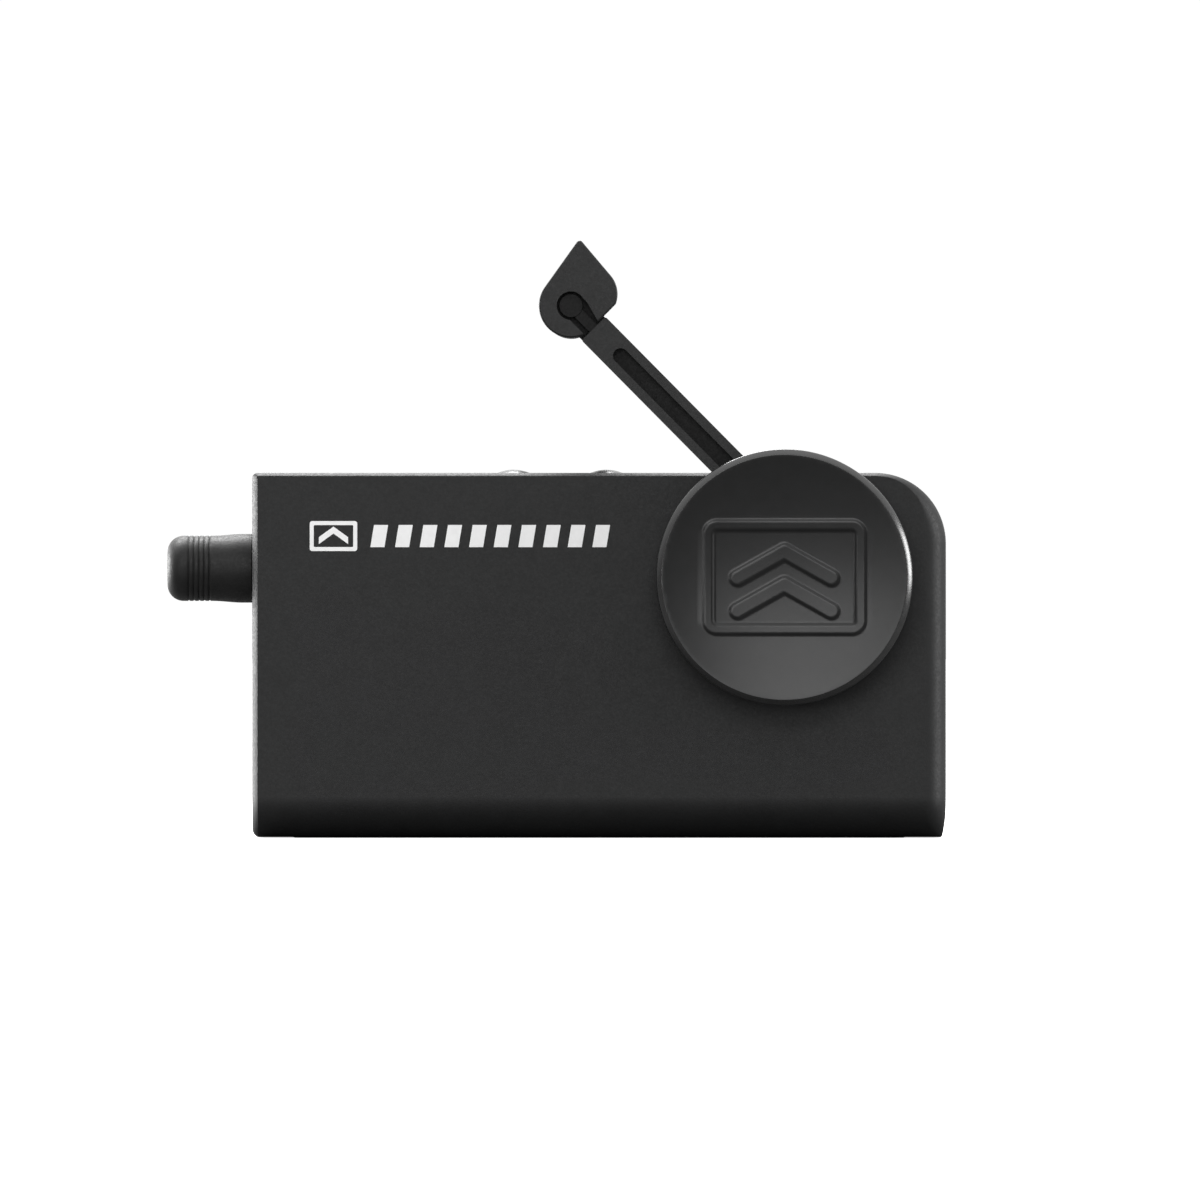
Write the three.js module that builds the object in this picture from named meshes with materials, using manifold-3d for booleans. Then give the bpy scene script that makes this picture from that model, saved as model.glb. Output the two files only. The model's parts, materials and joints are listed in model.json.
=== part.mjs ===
// Motorised handset lifter for a desk telephone.
// A low box stands beside the phone. A geared motor turns a shaft near its right end, and an arm
// on that shaft raises a swivelling bar that reaches back over the box and under the handset.
// Millimetres, +Z up, -Y is the front. The origin is on the desk, under the middle of the box.
import * as THREE from "three";
import { mergeVertices } from "three/addons/utils/BufferGeometryUtils.js";
import Module from "manifold-3d";

const wasm = await Module();
wasm.setup();

// ---- Driving dimensions ----
const CLEARANCE = 0.3; // between pieces that are separate
const { degToRad } = THREE.MathUtils;

const BODY = {
  left: -47.5,
  right: 47.5,
  front: -16,
  back: 16,
  bottom: 0.1,
  top: 50,
  wall: 2,
  cornerRadius: 9.7, // top right, seen from the front
  sillRadius: 5.6, // lower front edge
  cheekRadius: 3, // right front edge
  edgeRadius: 0.6, // other front edges
  backRadius: 1,
  footRadius: 1, // lower left corner, seen from the front
  tuck: 0.5, // the right end draws in at its foot
  tuckHeight: 4.1,
};
const INSIDE = { front: BODY.front + BODY.wall, back: BODY.back - BODY.wall };

const HUB = { x: 25.3, z: 35.7 };
const CAP = {
  radius: 17.5,
  front: -24,
  back: -19.5,
  dish: 1.4,
  rim: 0.8,
  relief: 0.4,
  rimRound: { out: 0.25, down: 0.2 },
  backRound: 0.4,
  pocketRadius: 3.6, // clears the hub screw
  pocketDepth: 1.9,
};
const EMBLEM = { width: 22, height: 15.4, line: 1.4, corner: 1.5 };
const CHEVRON = { halfWidth: 6.4, rise: 3.6, halfLine: 1, feet: [-4.6, -0.1] };
const ARM = {
  lean: degToRad(134.7), // direction of the bar, from +X towards +Z
  offset: 5.4, // bar centreline from the hub centre
  reach: 46.9, // hub to swivel pin, along the bar
  width: 4.6,
  shoulder: 42.5, // the bar ends here, and a thin neck goes on to the pin
  shoulderRadius: 0.2,
  neck: 1.5,
  bossRadius: 1.65,
  hubRadius: 8,
  front: -19.2,
  back: -16.6,
  bossBack: -17.8,
  groove: 2.1,
  grooveEnd: 38.3,
  grooveDepth: 1.5,
};
const TIP = {
  front: -19.5,
  back: 38,
  shrink: 0.12, // the bar is this much slimmer at its far end
  lobeRadius: 4.4,
  heel: { x: 2.44, z: 1.57, radius: 3.94 },
  apex: { x: 1.16, z: 9.19 },
  apexRadius: 0.45,
  corner: { x: 6.16, z: 0.2 },
  cut: 4.19, // square end towards the arm, from the pin
  recess: 2,
  keyRadius: 1.95,
  slotSide: 1.48, // the slot's straight side, from the pin
  slotFlare: 1.9, // the other side, by the pin
  slotFlareEnd: 1.2, // distances along the slot from the pin
  slotWaist: 4.6,
  slotEnd: 8,
  padFrom: 16,
  padBase: 6,
};
// A tab on the tip, behind the end of the arm, in the arm's direction from the pin.
const TAB = { from: 3.4, to: 5.6, half: 2.2, front: -16.3, back: -13.8 };
const PIN = { radius: 0.8, tipRadius: 0.65, proud: 0.2, end: -9.4, holeEnd: -9 };

const SHAFT = {
  radius: 3,
  nose: 2,
  front: -18.9,
  step: -16.3,
  back: 1.2,
  thread: 1.2,
  threadEnd: -11.7,
};
const BUSH = { outer: 4, flange: 5, flangeThickness: 1, wallFrom: -15.8, plateFrom: -5.4 };
const SHAFT_CLIP = { radius: 5, front: 0.1, back: 0.7 };

// Gear train: motor pinion, compound idler, output sector.
const GEAR = { module: 0.8, pressure: degToRad(20), addendum: 0.8, dedendum: 1.1, thinning: 0.14 };
const TEETH = { sector: 40, small: 12, wheel: 36, sectorCut: 11 };
const WHEEL_LAYER = { front: -12.4, back: -9.6 };
const SECTOR_LAYER = { front: -9.1, back: -6.1, hub: 6.5 };
const IDLER_DIRECTION = degToRad(225);
const PINION_DIRECTION = degToRad(180);
const AXLE_RADIUS = 1.5;
const IDLER_AXLE = { front: -13.4, headRadius: 2.6, headHeight: 1 };
const IDLER_CLIP = { radius: 2.9, front: -13.2, back: -12.7 };

const PLATE = {
  front: -5.5,
  back: -4,
  // Corners seen from the front, with the step that clears the control board.
  corners: [
    [-20, 6.5, 2],
    [37, 6.5, 2],
    [37, 45, 2],
    [9, 45, 1],
    [9, 41, 1],
    [-20, 41, 2],
  ],
};
const MOTOR = {
  gearboxRadius: 10,
  gearboxDepth: 6,
  shaftFront: -12.8,
  shaftBack: 0,
  shaftBore: 4.2, // depths in the gearbox
  screwBore: 3.2,
  canRadius: 7.8,
  canDepth: 10,
  canRound: 0.8,
  nubRadius: 2.6,
  nubHeight: 0.7,
  screwCircle: 7.5,
};
const CAM = { radius: 5.5, lobe: 8.5, lobeHalf: degToRad(20), front: -2.6, back: -0.2 };
// Micro switches round the cam: distances from the shaft, and half widths.
const SWITCH = {
  near: 10.5,
  far: 15.5,
  half: 3.2,
  plungerTip: 9.3,
  plungerRoot: 11,
  plungerHalf: 0.6,
  directions: { low: degToRad(232), high: degToRad(308) },
};

const CONTROL_Y = -6; // knob and buttons lie in this plane
const KNOB = {
  z: 36.95,
  base: -47.8,
  end: -59.24,
  radius: 4.715,
  gripRadius: 4.38,
  taperFrom: -50,
  taperTo: -53.2,
  endRadius: 2.2,
  rings: 5,
  firstRing: -53.45,
  ringPitch: 0.71,
  ringDepth: 0.15,
  ringHalf: 0.18,
  pocketRadius: 4, // clears the nut
  pocketEnd: -50.2,
  boreEnd: -56.3,
};
const POT = {
  left: -45.2,
  right: -38.6,
  half: 4.5,
  bushRadius: 2.5,
  bushEnd: -49.4,
  nutRadius: 3.7,
  nutFrom: -47.8,
  shaftLeft: -56,
  shaftRight: -41.5,
};
const BUTTON = {
  radius: 2.35,
  proud: 0.5,
  flange: 3.4,
  low: 46.4,
  flangeTop: 47.4,
  crown: [
    [1, 0.1], // shares of the radius and of the height above the box
    [0.8, 0.55],
    [0.45, 0.88],
    [0, 1],
  ],
};
const TACT = { half: 3, top: 45.3, stemRadius: 1.4, stemTop: 45.7 };
const BUTTON_X = { raise: -11.74, lower: 1 };

// Radii of the bosses inside the shells, and of the holes in them.
const BOSS = { frontCase: 2.8, rearCase: 3.6, plate: 2.6, board: 2.2, start: 0.5 };
const HOLE = {
  case: 1.5,
  caseFrom: -10,
  caseTo: 13,
  plate: 1.3,
  plateFrom: -13,
  board: 1.2,
  boardFrom: 12,
  boardTo: 14.6,
  head: 2.7,
  headFrom: 12.3,
  knob: 2.8,
  motor: 3.5,
  motorScrew: 1.1,
};
const SHELF = { lefts: [-27, 1], width: 2, bottom: 39.5, back: -6.2 };

const CASE_SCREWS = [
  [-41.5, 5.5],
  [41.5, 5.8],
  [40.5, 43],
  [-34, 44.7],
];
const PLATE_SCREWS = [
  [-16.5, 37.5],
  [-16.5, 9.5],
  [33, 12],
];
const BOARD_SCREWS = [
  [-42, 37.5],
  [-22.5, 12],
];
const MAIN_BOARD = { left: -44.5, right: -20, front: 11, back: 12.6, bottom: 9.4, top: 40.2 };
const CONTROL_BOARD = { left: -29, right: 5, front: -12, back: -1, bottom: 42.3, top: 43.5 };
const CHIP = { left: -38, right: -30, front: 9.5, bottom: 29, top: 37 };
const CAPACITOR = { x: -24.5, z: 21, radius: 3.15, front: 2.7 };
const RIBBON = { left: -28, right: -21, y: 5.6, z: 36.8, radius: 5, thickness: 0.4, low: 32, front: -3 };
const SOCKET = {
  left: -45.2,
  right: -29,
  front: 0.8,
  back: 10.7,
  bottom: 12,
  top: 25.6,
  wall: 2,
  frontWall: 1.8,
  backWall: 1.3,
  endWall: 4,
  latch: { depth: 7, wall: 0.5, margin: 4.8 },
};
const WINDOW = { front: 2.4, back: 9.6, bottom: 13.9, top: 23.7 }; // in front of the socket
const BASE_PAD = { halfWidth: 42, front: -9, back: 13, top: 1 };
const PHONE_PAD = { halfWidth: 35, bottom: 9, top: 40, front: 15.7, back: 17 };

// ---- Outlines ----
const arc = (x, y, radius, from, to, steps) =>
  Array.from({ length: steps + 1 }, (_, i) => {
    const angle = from + ((to - from) * i) / steps;
    return new THREE.Vector2(x + radius * Math.cos(angle), y + radius * Math.sin(angle));
  });

// A closed outline through corners [x, y, radius], each rounded to its radius.
function filleted(corners, steps = 4) {
  return corners.flatMap(([x, y, radius], i) => {
    const here = new THREE.Vector2(x, y);
    if (!radius) return [here];
    const before = corners.at(i - 1);
    const after = corners[(i + 1) % corners.length];
    const toBefore = new THREE.Vector2(before[0] - x, before[1] - y).normalize();
    const toAfter = new THREE.Vector2(after[0] - x, after[1] - y).normalize();
    const half = Math.acos(toBefore.dot(toAfter)) / 2;
    const middle = toBefore.clone().add(toAfter).setLength(radius / Math.sin(half)).add(here);
    const tangent = radius / Math.tan(half);
    const start = toBefore.multiplyScalar(tangent).add(here).sub(middle).angle();
    const end = toAfter.multiplyScalar(tangent).add(here).sub(middle).angle();
    const sweep = Math.atan2(Math.sin(end - start), Math.cos(end - start));
    return arc(middle.x, middle.y, radius, start, start + sweep, steps);
  });
}

const rectangle = (left, right, bottom, top, radius = 0) =>
  filleted([
    [left, bottom, radius],
    [right, bottom, radius],
    [right, top, radius],
    [left, top, radius],
  ]);

// ---- Plain geometries ----
const prismZ = (points, low, high) =>
  new THREE.ExtrudeGeometry(new THREE.Shape(points), {
    depth: high - low,
    bevelEnabled: false,
  }).translate(0, 0, low);

// Outline in X and Z, thickness along Y.
const prismY = (points, low, high) => prismZ(points, -high, -low).rotateX(Math.PI / 2);

// Outline in Y and Z, thickness along X.
const prismX = (points, low, high) =>
  prismZ(points, low, high).applyMatrix4(
    new THREE.Matrix4().set(0, 0, 1, 0, 1, 0, 0, 0, 0, 1, 0, 0, 0, 0, 0, 1),
  );

const block = (left, right, front, back, bottom, top) =>
  new THREE.BoxGeometry(right - left, back - front, top - bottom).translate(
    (left + right) / 2,
    (front + back) / 2,
    (bottom + top) / 2,
  );

const rodY = (radius, low, high, x = 0, z = 0, sides = 20) =>
  new THREE.CylinderGeometry(radius, radius, high - low, sides).translate(x, (low + high) / 2, z);

const rodZ = (radius, low, high, x = 0, y = 0, sides = 16) =>
  new THREE.CylinderGeometry(radius, radius, high - low, sides)
    .rotateX(Math.PI / 2)
    .translate(x, y, (low + high) / 2);

const rodX = (radius, low, high, y = 0, z = 0, sides = 16) =>
  new THREE.CylinderGeometry(radius, radius, high - low, sides)
    .rotateZ(Math.PI / 2)
    .translate((low + high) / 2, y, z);

// A profile of [radius, height] turned about the Y axis.
const turned = (profile, sides = 20) =>
  new THREE.LatheGeometry(
    profile.map(([radius, height]) => new THREE.Vector2(radius, height)),
    sides,
  );

// ---- Solids: joined and cut ----
function solid(geometry) {
  const bare = geometry.index ? geometry.toNonIndexed() : geometry.clone();
  bare.deleteAttribute("normal");
  bare.deleteAttribute("uv");
  const merged = mergeVertices(bare, 1e-4);
  const triangles = [];
  for (let i = 0; i < merged.index.count; i += 3) {
    const [a, b, c] = merged.index.array.slice(i, i + 3);
    if (a !== b && b !== c && c !== a) triangles.push([a, b, c]);
  }
  const build = (list) =>
    new wasm.Manifold(
      new wasm.Mesh({
        numProp: 3,
        vertProperties: merged.attributes.position.array,
        triVerts: new Uint32Array(list.flat()),
      }),
    );
  const made = build(triangles);
  return made.volume() > 0 ? made : build(triangles.map(([a, b, c]) => [a, c, b]));
}

const joined = (...geometries) => geometries.map(solid).reduce((whole, next) => whole.add(next));

const cut = (whole, ...tools) =>
  tools.reduce((rest, tool) => rest.subtract(solid(tool)), whole);

function geometryOf(made) {
  const { vertProperties, triVerts } = made.getMesh();
  const geometry = new THREE.BufferGeometry();
  geometry.setAttribute("position", new THREE.BufferAttribute(vertProperties, 3));
  geometry.setIndex(new THREE.BufferAttribute(triVerts, 1));
  geometry.computeVertexNormals();
  return geometry;
}

// ---- Finishes and nodes ----
const FINISH = {
  shell: { color: 0x2b2b2d, roughness: 0.62, metalness: 0 },
  satin: { color: 0x2a2a2c, roughness: 0.42, metalness: 0 },
  rubber: { color: 0x1c1c1d, roughness: 0.75, metalness: 0 },
  foam: { color: 0x3a3b3d, roughness: 0.95, metalness: 0 },
  nylon: { color: 0xe6e2d6, roughness: 0.5, metalness: 0 },
  steel: { color: 0xb4b6b8, roughness: 0.35, metalness: 1 },
  brass: { color: 0xc5a25a, roughness: 0.35, metalness: 1 },
  board: { color: 0x1f5a38, roughness: 0.5, metalness: 0 },
  component: { color: 0x222326, roughness: 0.5, metalness: 0 },
};

const lifter = new THREE.Group();

const armGroup = new THREE.Group();
armGroup.position.set(HUB.x, 0, HUB.z);
armGroup.rotation.y = -ARM.lean;
lifter.add(armGroup);

const pin = new THREE.Vector2(ARM.reach, ARM.offset);
const tipGroup = new THREE.Group();
tipGroup.position.set(
  HUB.x + pin.x * Math.cos(ARM.lean) + pin.y * Math.sin(ARM.lean),
  0,
  HUB.z + pin.x * Math.sin(ARM.lean) - pin.y * Math.cos(ARM.lean),
);
lifter.add(tipGroup);

const hubGroup = new THREE.Group();
hubGroup.position.set(HUB.x, 0, HUB.z);
lifter.add(hubGroup);

function piece(name, made, finish, parent = lifter) {
  const mesh = new THREE.Mesh(geometryOf(made), new THREE.MeshStandardMaterial(finish));
  mesh.name = name;
  parent.add(mesh);
}

// ---- Fasteners ----
// A pan head screw along Y with a cross recess. seat is the underside of the head, and facing
// is the way the head looks: -1 to the front, 1 to the back.
function screw({ x, z, seat, facing, head, height, shank, length }) {
  const profile = [
    [0, -length],
    [shank, -length],
    [shank, 0],
    [head, 0],
    [head, height * 0.6],
    [head * 0.75, height],
    [0, height],
  ];
  const slot = head * 0.6;
  const blade = head * 0.14;
  const recess = height * 0.5;
  const body = solid(turned(profile, 10));
  const crossed = cut(
    body,
    block(-slot, slot, height - recess, height + 1, -blade, blade),
    block(-blade, blade, height - recess, height + 1, -slot, slot),
  );
  return solid(
    geometryOf(crossed)
      .rotateX(facing > 0 ? 0 : Math.PI)
      .translate(x, seat, z),
  );
}

// ---- Box ----
// The outer form of the box, or the form that lies a given distance inside it.
function envelope(inset) {
  const left = BODY.left + inset;
  const right = BODY.right - inset;
  const front = BODY.front + inset;
  const back = BODY.back - inset;
  const bottom = BODY.bottom + inset;
  const top = BODY.top - inset;
  const inner = (radius) => Math.max(radius - inset, 0);
  const frontView = filleted(
    [
      [left, bottom, inner(BODY.footRadius)],
      [right - BODY.tuck, bottom, 0],
      [right, BODY.tuckHeight, 0],
      [right, top, inner(BODY.cornerRadius)],
      [left, top, inner(BODY.edgeRadius)],
    ],
    8,
  );
  const sideView = filleted(
    [
      [front, bottom, inner(BODY.sillRadius)],
      [back, bottom, inner(BODY.backRadius)],
      [back, top, inner(BODY.backRadius)],
      [front, top, inner(BODY.edgeRadius)],
    ],
    5,
  );
  const topView = filleted([
    [left, front, inner(BODY.edgeRadius)],
    [right, front, inner(BODY.cheekRadius)],
    [right, back, inner(BODY.backRadius)],
    [left, back, inner(BODY.backRadius)],
  ]);
  return solid(prismY(frontView, front, back))
    .intersect(solid(prismX(sideView, left, right)))
    .intersect(solid(prismZ(topView, bottom, top)));
}

const OVERSIZE = 60;
const hollowBody = envelope(0).subtract(envelope(BODY.wall));

function bodyHalf(front, back) {
  return hollowBody.intersect(
    solid(block(-OVERSIZE, OVERSIZE, front, back, -OVERSIZE, OVERSIZE)),
  );
}

const basePadRecess = () =>
  block(
    -BASE_PAD.halfWidth - CLEARANCE,
    BASE_PAD.halfWidth + CLEARANCE,
    BASE_PAD.front - CLEARANCE,
    BASE_PAD.back + CLEARANCE,
    -1,
    BASE_PAD.top + CLEARANCE,
  );

function frontShell() {
  const seam = -CLEARANCE / 2;
  const rooted = INSIDE.front - BOSS.start; // bosses start inside the wall
  const shelfTop = CONTROL_BOARD.bottom - CLEARANCE;
  const shelf = (left) =>
    block(left, left + SHELF.width, rooted, SHELF.back, SHELF.bottom, shelfTop);
  const plateFace = PLATE.front - CLEARANCE;
  const bosses = joined(
    ...CASE_SCREWS.map(([x, z]) => rodY(BOSS.frontCase, rooted, seam, x, z, 12)),
    ...PLATE_SCREWS.map(([x, z]) => rodY(BOSS.plate, rooted, plateFace, x, z, 12)),
    ...SHELF.lefts.map(shelf),
  );
  return cut(
    bodyHalf(-OVERSIZE, seam).add(bosses.intersect(envelope(1))),
    ...CASE_SCREWS.map(([x, z]) => rodY(HOLE.case, HOLE.caseFrom, 1, x, z, 12)),
    ...PLATE_SCREWS.map(([x, z]) => rodY(HOLE.plate, HOLE.plateFrom, 1, x, z, 12)),
    rodY(BUSH.outer + CLEARANCE, BODY.front - 1, INSIDE.front + 1, HUB.x, HUB.z),
    rodX(HOLE.knob, BODY.left - 1, BODY.left + BODY.wall + 1, CONTROL_Y, KNOB.z),
    ...Object.values(BUTTON_X).map((x) =>
      rodZ(BUTTON.radius + CLEARANCE, BODY.top - BODY.wall - 1, BODY.top + 1, x, CONTROL_Y),
    ),
    basePadRecess(),
  );
}

function rearShell() {
  const seam = CLEARANCE / 2;
  const rooted = INSIDE.back + BOSS.start;
  const boardFace = MAIN_BOARD.back + CLEARANCE;
  const bosses = joined(
    ...CASE_SCREWS.map(([x, z]) => rodY(BOSS.rearCase, seam, rooted, x, z, 12)),
    ...BOARD_SCREWS.map(([x, z]) => rodY(BOSS.board, boardFace, rooted, x, z, 12)),
  );
  return cut(
    bodyHalf(seam, OVERSIZE).add(bosses.intersect(envelope(1))),
    ...CASE_SCREWS.map(([x, z]) => rodY(HOLE.case, -1, HOLE.caseTo, x, z, 12)),
    ...CASE_SCREWS.map(([x, z]) => rodY(HOLE.head, HOLE.headFrom, BODY.back + 1, x, z, 12)),
    ...BOARD_SCREWS.map(([x, z]) => rodY(HOLE.board, HOLE.boardFrom, HOLE.boardTo, x, z, 12)),
    block(
      BODY.left - 1,
      BODY.left + BODY.wall + 0.5,
      WINDOW.front,
      WINDOW.back,
      WINDOW.bottom,
      WINDOW.top,
    ),
    block(
      -PHONE_PAD.halfWidth - CLEARANCE,
      PHONE_PAD.halfWidth + CLEARANCE,
      PHONE_PAD.front - CLEARANCE,
      BODY.back + 1,
      PHONE_PAD.bottom - CLEARANCE,
      PHONE_PAD.top + CLEARANCE,
    ),
    basePadRecess(),
  );
}

const basePad = () =>
  solid(
    prismZ(
      rectangle(-BASE_PAD.halfWidth, BASE_PAD.halfWidth, BASE_PAD.front, BASE_PAD.back, 2),
      0,
      BASE_PAD.top,
    ),
  );

const phonePad = () =>
  solid(
    prismY(
      rectangle(-PHONE_PAD.halfWidth, PHONE_PAD.halfWidth, PHONE_PAD.bottom, PHONE_PAD.top, 2),
      PHONE_PAD.front,
      PHONE_PAD.back,
    ),
  );

// ---- Hub, arm and tip ----
const DISH_STEPS = 4;

// The dished front face: height at a radius, moved forwards by lift.
const dishFace = (radius, lift) =>
  CAP.front + CAP.dish * (1 - (radius / (CAP.radius - CAP.rim)) ** 2) - lift;

function capBlank(lift) {
  const edge = CAP.radius - CAP.rim;
  const dish = Array.from({ length: DISH_STEPS + 1 }, (_, i) => {
    const radius = (edge * i) / DISH_STEPS;
    return [radius, dishFace(radius, lift)];
  });
  return turned(
    [
      ...dish,
      [CAP.radius - CAP.rimRound.out, CAP.front + CAP.rimRound.down - lift],
      [CAP.radius, CAP.front + CAP.rim - lift],
      [CAP.radius, CAP.back - CAP.backRound],
      [CAP.radius - CAP.backRound, CAP.back],
      [0, CAP.back],
    ],
    40,
  );
}

function hubCap() {
  const halfWidth = EMBLEM.width / 2;
  const halfHeight = EMBLEM.height / 2;
  const inner = EMBLEM.line;
  const frame = cut(
    solid(
      prismY(
        rectangle(-halfWidth, halfWidth, -halfHeight, halfHeight, EMBLEM.corner),
        CAP.front - 2,
        CAP.back - 1,
      ),
    ),
    prismY(
      rectangle(
        -halfWidth + inner,
        halfWidth - inner,
        -halfHeight + inner,
        halfHeight - inner,
        EMBLEM.corner / 2,
      ),
      CAP.front - 3,
      CAP.back,
    ),
  );
  const { halfWidth: reach, rise, halfLine } = CHEVRON;
  const chevrons = CHEVRON.feet.map((foot) =>
    prismY(
      [
        [-reach, foot - halfLine],
        [0, foot + rise - halfLine],
        [reach, foot - halfLine],
        [reach, foot + halfLine],
        [0, foot + rise + halfLine],
        [-reach, foot + halfLine],
      ].map(([x, z]) => new THREE.Vector2(x, z)),
      CAP.front - 2,
      CAP.back - 1,
    ),
  );
  const emblem = frame.add(joined(...chevrons)).intersect(solid(capBlank(CAP.relief)));
  const screwPocket = rodY(CAP.pocketRadius, CAP.back - CAP.pocketDepth, CAP.back + 1);
  return cut(solid(capBlank(0)).add(emblem), screwPocket);
}

function liftArm() {
  const line = -ARM.offset; // the bar's centreline in the arm's own Z
  const half = ARM.width / 2;
  const groove = ARM.groove / 2;
  const bar = filleted([
    [0, line - half, 0],
    [ARM.shoulder, line - half, ARM.shoulderRadius],
    [ARM.shoulder, line + half, ARM.shoulderRadius],
    [0, line + half, 0],
  ]);
  const grooveOutline = [
    new THREE.Vector2(0, line + groove),
    new THREE.Vector2(0, line - groove),
    ...arc(ARM.grooveEnd - groove, line, groove, -Math.PI / 2, Math.PI / 2, 8),
  ];
  const made = joined(
    rodY(ARM.hubRadius, ARM.front, ARM.back, 0, 0, 32),
    prismY(bar, ARM.front, ARM.back),
    block(
      ARM.shoulder - 1,
      ARM.reach,
      ARM.front,
      ARM.bossBack,
      line - ARM.neck / 2,
      line + ARM.neck / 2,
    ),
    rodY(ARM.bossRadius, ARM.front, ARM.bossBack, ARM.reach, line),
  );
  return cut(
    made,
    prismY(grooveOutline, ARM.front - 1, ARM.front + ARM.grooveDepth),
    rodY(SHAFT.nose + CLEARANCE, ARM.front - 1, ARM.back + 1),
    rodY(PIN.radius + CLEARANCE, ARM.front - 1, ARM.back, ARM.reach, line, 16),
  );
}

// The lifting bar's section about the swivel pin: a round lobe, a ridge, a round heel, and a
// square end that faces the arm.
function teardrop() {
  const { apex, heel, corner, lobeRadius } = TIP;
  const left = Math.atan2(apex.z, apex.x) + Math.acos(lobeRadius / Math.hypot(apex.x, apex.z));
  const rise = new THREE.Vector2(apex.x - heel.x, apex.z - heel.z);
  const right = rise.angle() - Math.acos(heel.radius / rise.length());
  const heelCorner = Math.atan2(corner.z - heel.z, corner.x - heel.x);
  const squareEnd = ARM.lean + Math.PI - Math.acos(TIP.cut / lobeRadius);
  const lobe = arc(0, 0, lobeRadius, left, squareEnd, 14);
  const side = arc(heel.x, heel.z, heel.radius, heelCorner, right, 6);
  const ridge = filleted([
    [lobe[0].x, lobe[0].y, 0],
    [side.at(-1).x, side.at(-1).y, 0],
    [apex.x, apex.z, TIP.apexRadius],
  ]).slice(2);
  return [...lobe, ...side, ...ridge];
}

// The lifting bar, slimmer towards its far end.
function barBlank() {
  const geometry = prismY(teardrop(), TIP.front, TIP.back);
  const place = geometry.attributes.position;
  for (let i = 0; i < place.count; i += 1) {
    const along = (place.getY(i) - TIP.front) / (TIP.back - TIP.front);
    const scale = 1 - TIP.shrink * along;
    place.setXYZ(i, place.getX(i) * scale, place.getY(i), place.getZ(i) * scale);
  }
  return geometry;
}

function liftTip() {
  const floor = TIP.front + TIP.recess;
  // In the arm's direction: the slot is straight on one side and opens wider on the other.
  const slot = prismY(
    [
      [0, -TIP.slotFlare],
      [-TIP.slotFlareEnd, -TIP.slotFlare],
      [-TIP.slotWaist, -ARM.neck / 2 - CLEARANCE],
      [-TIP.slotEnd, 0],
      [-TIP.slotEnd, TIP.slotSide],
      [0, TIP.slotSide],
    ].map(([x, z]) => new THREE.Vector2(x, z)),
    TIP.front - 1,
    floor,
  ).rotateY(-ARM.lean);
  const tab = block(-TAB.to, -TAB.from, TAB.front, TAB.back, -TAB.half, TAB.half);
  return cut(
    joined(barBlank(), tab.rotateY(-ARM.lean)),
    rodY(TIP.keyRadius, TIP.front - 1, floor),
    slot,
    rodY(PIN.radius + CLEARANCE, TIP.front, PIN.holeEnd, 0, 0, 16),
    block(-OVERSIZE, OVERSIZE, TIP.padFrom, TIP.back + 1, TIP.padBase, OVERSIZE),
  );
}

function tipPad() {
  const { padFrom, padBase, back } = TIP;
  const ridge = block(
    -OVERSIZE,
    OVERSIZE,
    padFrom + CLEARANCE,
    back,
    padBase + CLEARANCE,
    OVERSIZE,
  );
  return solid(barBlank()).intersect(solid(ridge));
}

function tipPin() {
  const head = ARM.front - PIN.proud;
  const profile = [
    [0, head],
    [PIN.tipRadius, head],
    [PIN.radius, ARM.front],
    [PIN.radius, PIN.end],
    [0, PIN.end],
  ];
  return solid(turned(profile, 16));
}

const hubScrew = () =>
  screw({
    x: 0,
    z: 0,
    seat: ARM.front - CLEARANCE,
    facing: -1,
    head: 3,
    height: 1.6,
    shank: SHAFT.thread,
    length: 7,
  });

const hubShaft = () =>
  cut(
    solid(
      turned([
        [0, SHAFT.front],
        [SHAFT.nose, SHAFT.front],
        [SHAFT.nose, SHAFT.step],
        [SHAFT.radius, SHAFT.step],
        [SHAFT.radius, SHAFT.back],
        [0, SHAFT.back],
      ]),
    ),
    rodY(SHAFT.thread + CLEARANCE, SHAFT.front - 1, SHAFT.threadEnd, 0, 0, 12),
  );

// A flanged bush. The flange is at the back end, and seat is its front face.
const flangedBush = (front, seat) =>
  cut(
    joined(
      rodY(BUSH.outer, front, seat + BUSH.flangeThickness),
      rodY(BUSH.flange, seat, seat + BUSH.flangeThickness),
    ),
    rodY(SHAFT.radius + CLEARANCE, front - 1, seat + 2),
  );

const ring = (inner, outer, front, back, x = 0, z = 0) =>
  cut(solid(rodY(outer, front, back, x, z, 20)), rodY(inner, front - 1, back + 1, x, z, 16));

// ---- Gear train ----
const pitchRadius = (teeth) => (teeth * GEAR.module) / 2;

const involute = (radius, base) => {
  const angle = Math.acos(Math.min(1, base / radius));
  return Math.tan(angle) - angle;
};

// Involute outline with a tooth centred on the phase angle.
function gearOutline(teeth, phase) {
  const pitch = pitchRadius(teeth);
  const base = pitch * Math.cos(GEAR.pressure);
  const root = pitch - GEAR.dedendum * GEAR.module;
  const tip = pitch + GEAR.addendum * GEAR.module;
  const atPitch = Math.PI / (2 * teeth) - GEAR.thinning / (2 * pitch);
  const halfTooth = (radius) =>
    atPitch + involute(pitch, base) - involute(Math.max(radius, base), base);
  const radii = [root, Math.max(base, root + 0.1), pitch, tip];
  return Array.from({ length: teeth }, (_, i) => {
    const centre = phase + (2 * Math.PI * i) / teeth;
    const point = (radius, side) => {
      const angle = centre + side * halfTooth(radius);
      return new THREE.Vector2(radius * Math.cos(angle), radius * Math.sin(angle));
    };
    return [
      ...radii.map((radius) => point(radius, -1)),
      ...radii.toReversed().map((radius) => point(radius, 1)),
    ];
  }).flat();
}

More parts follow.
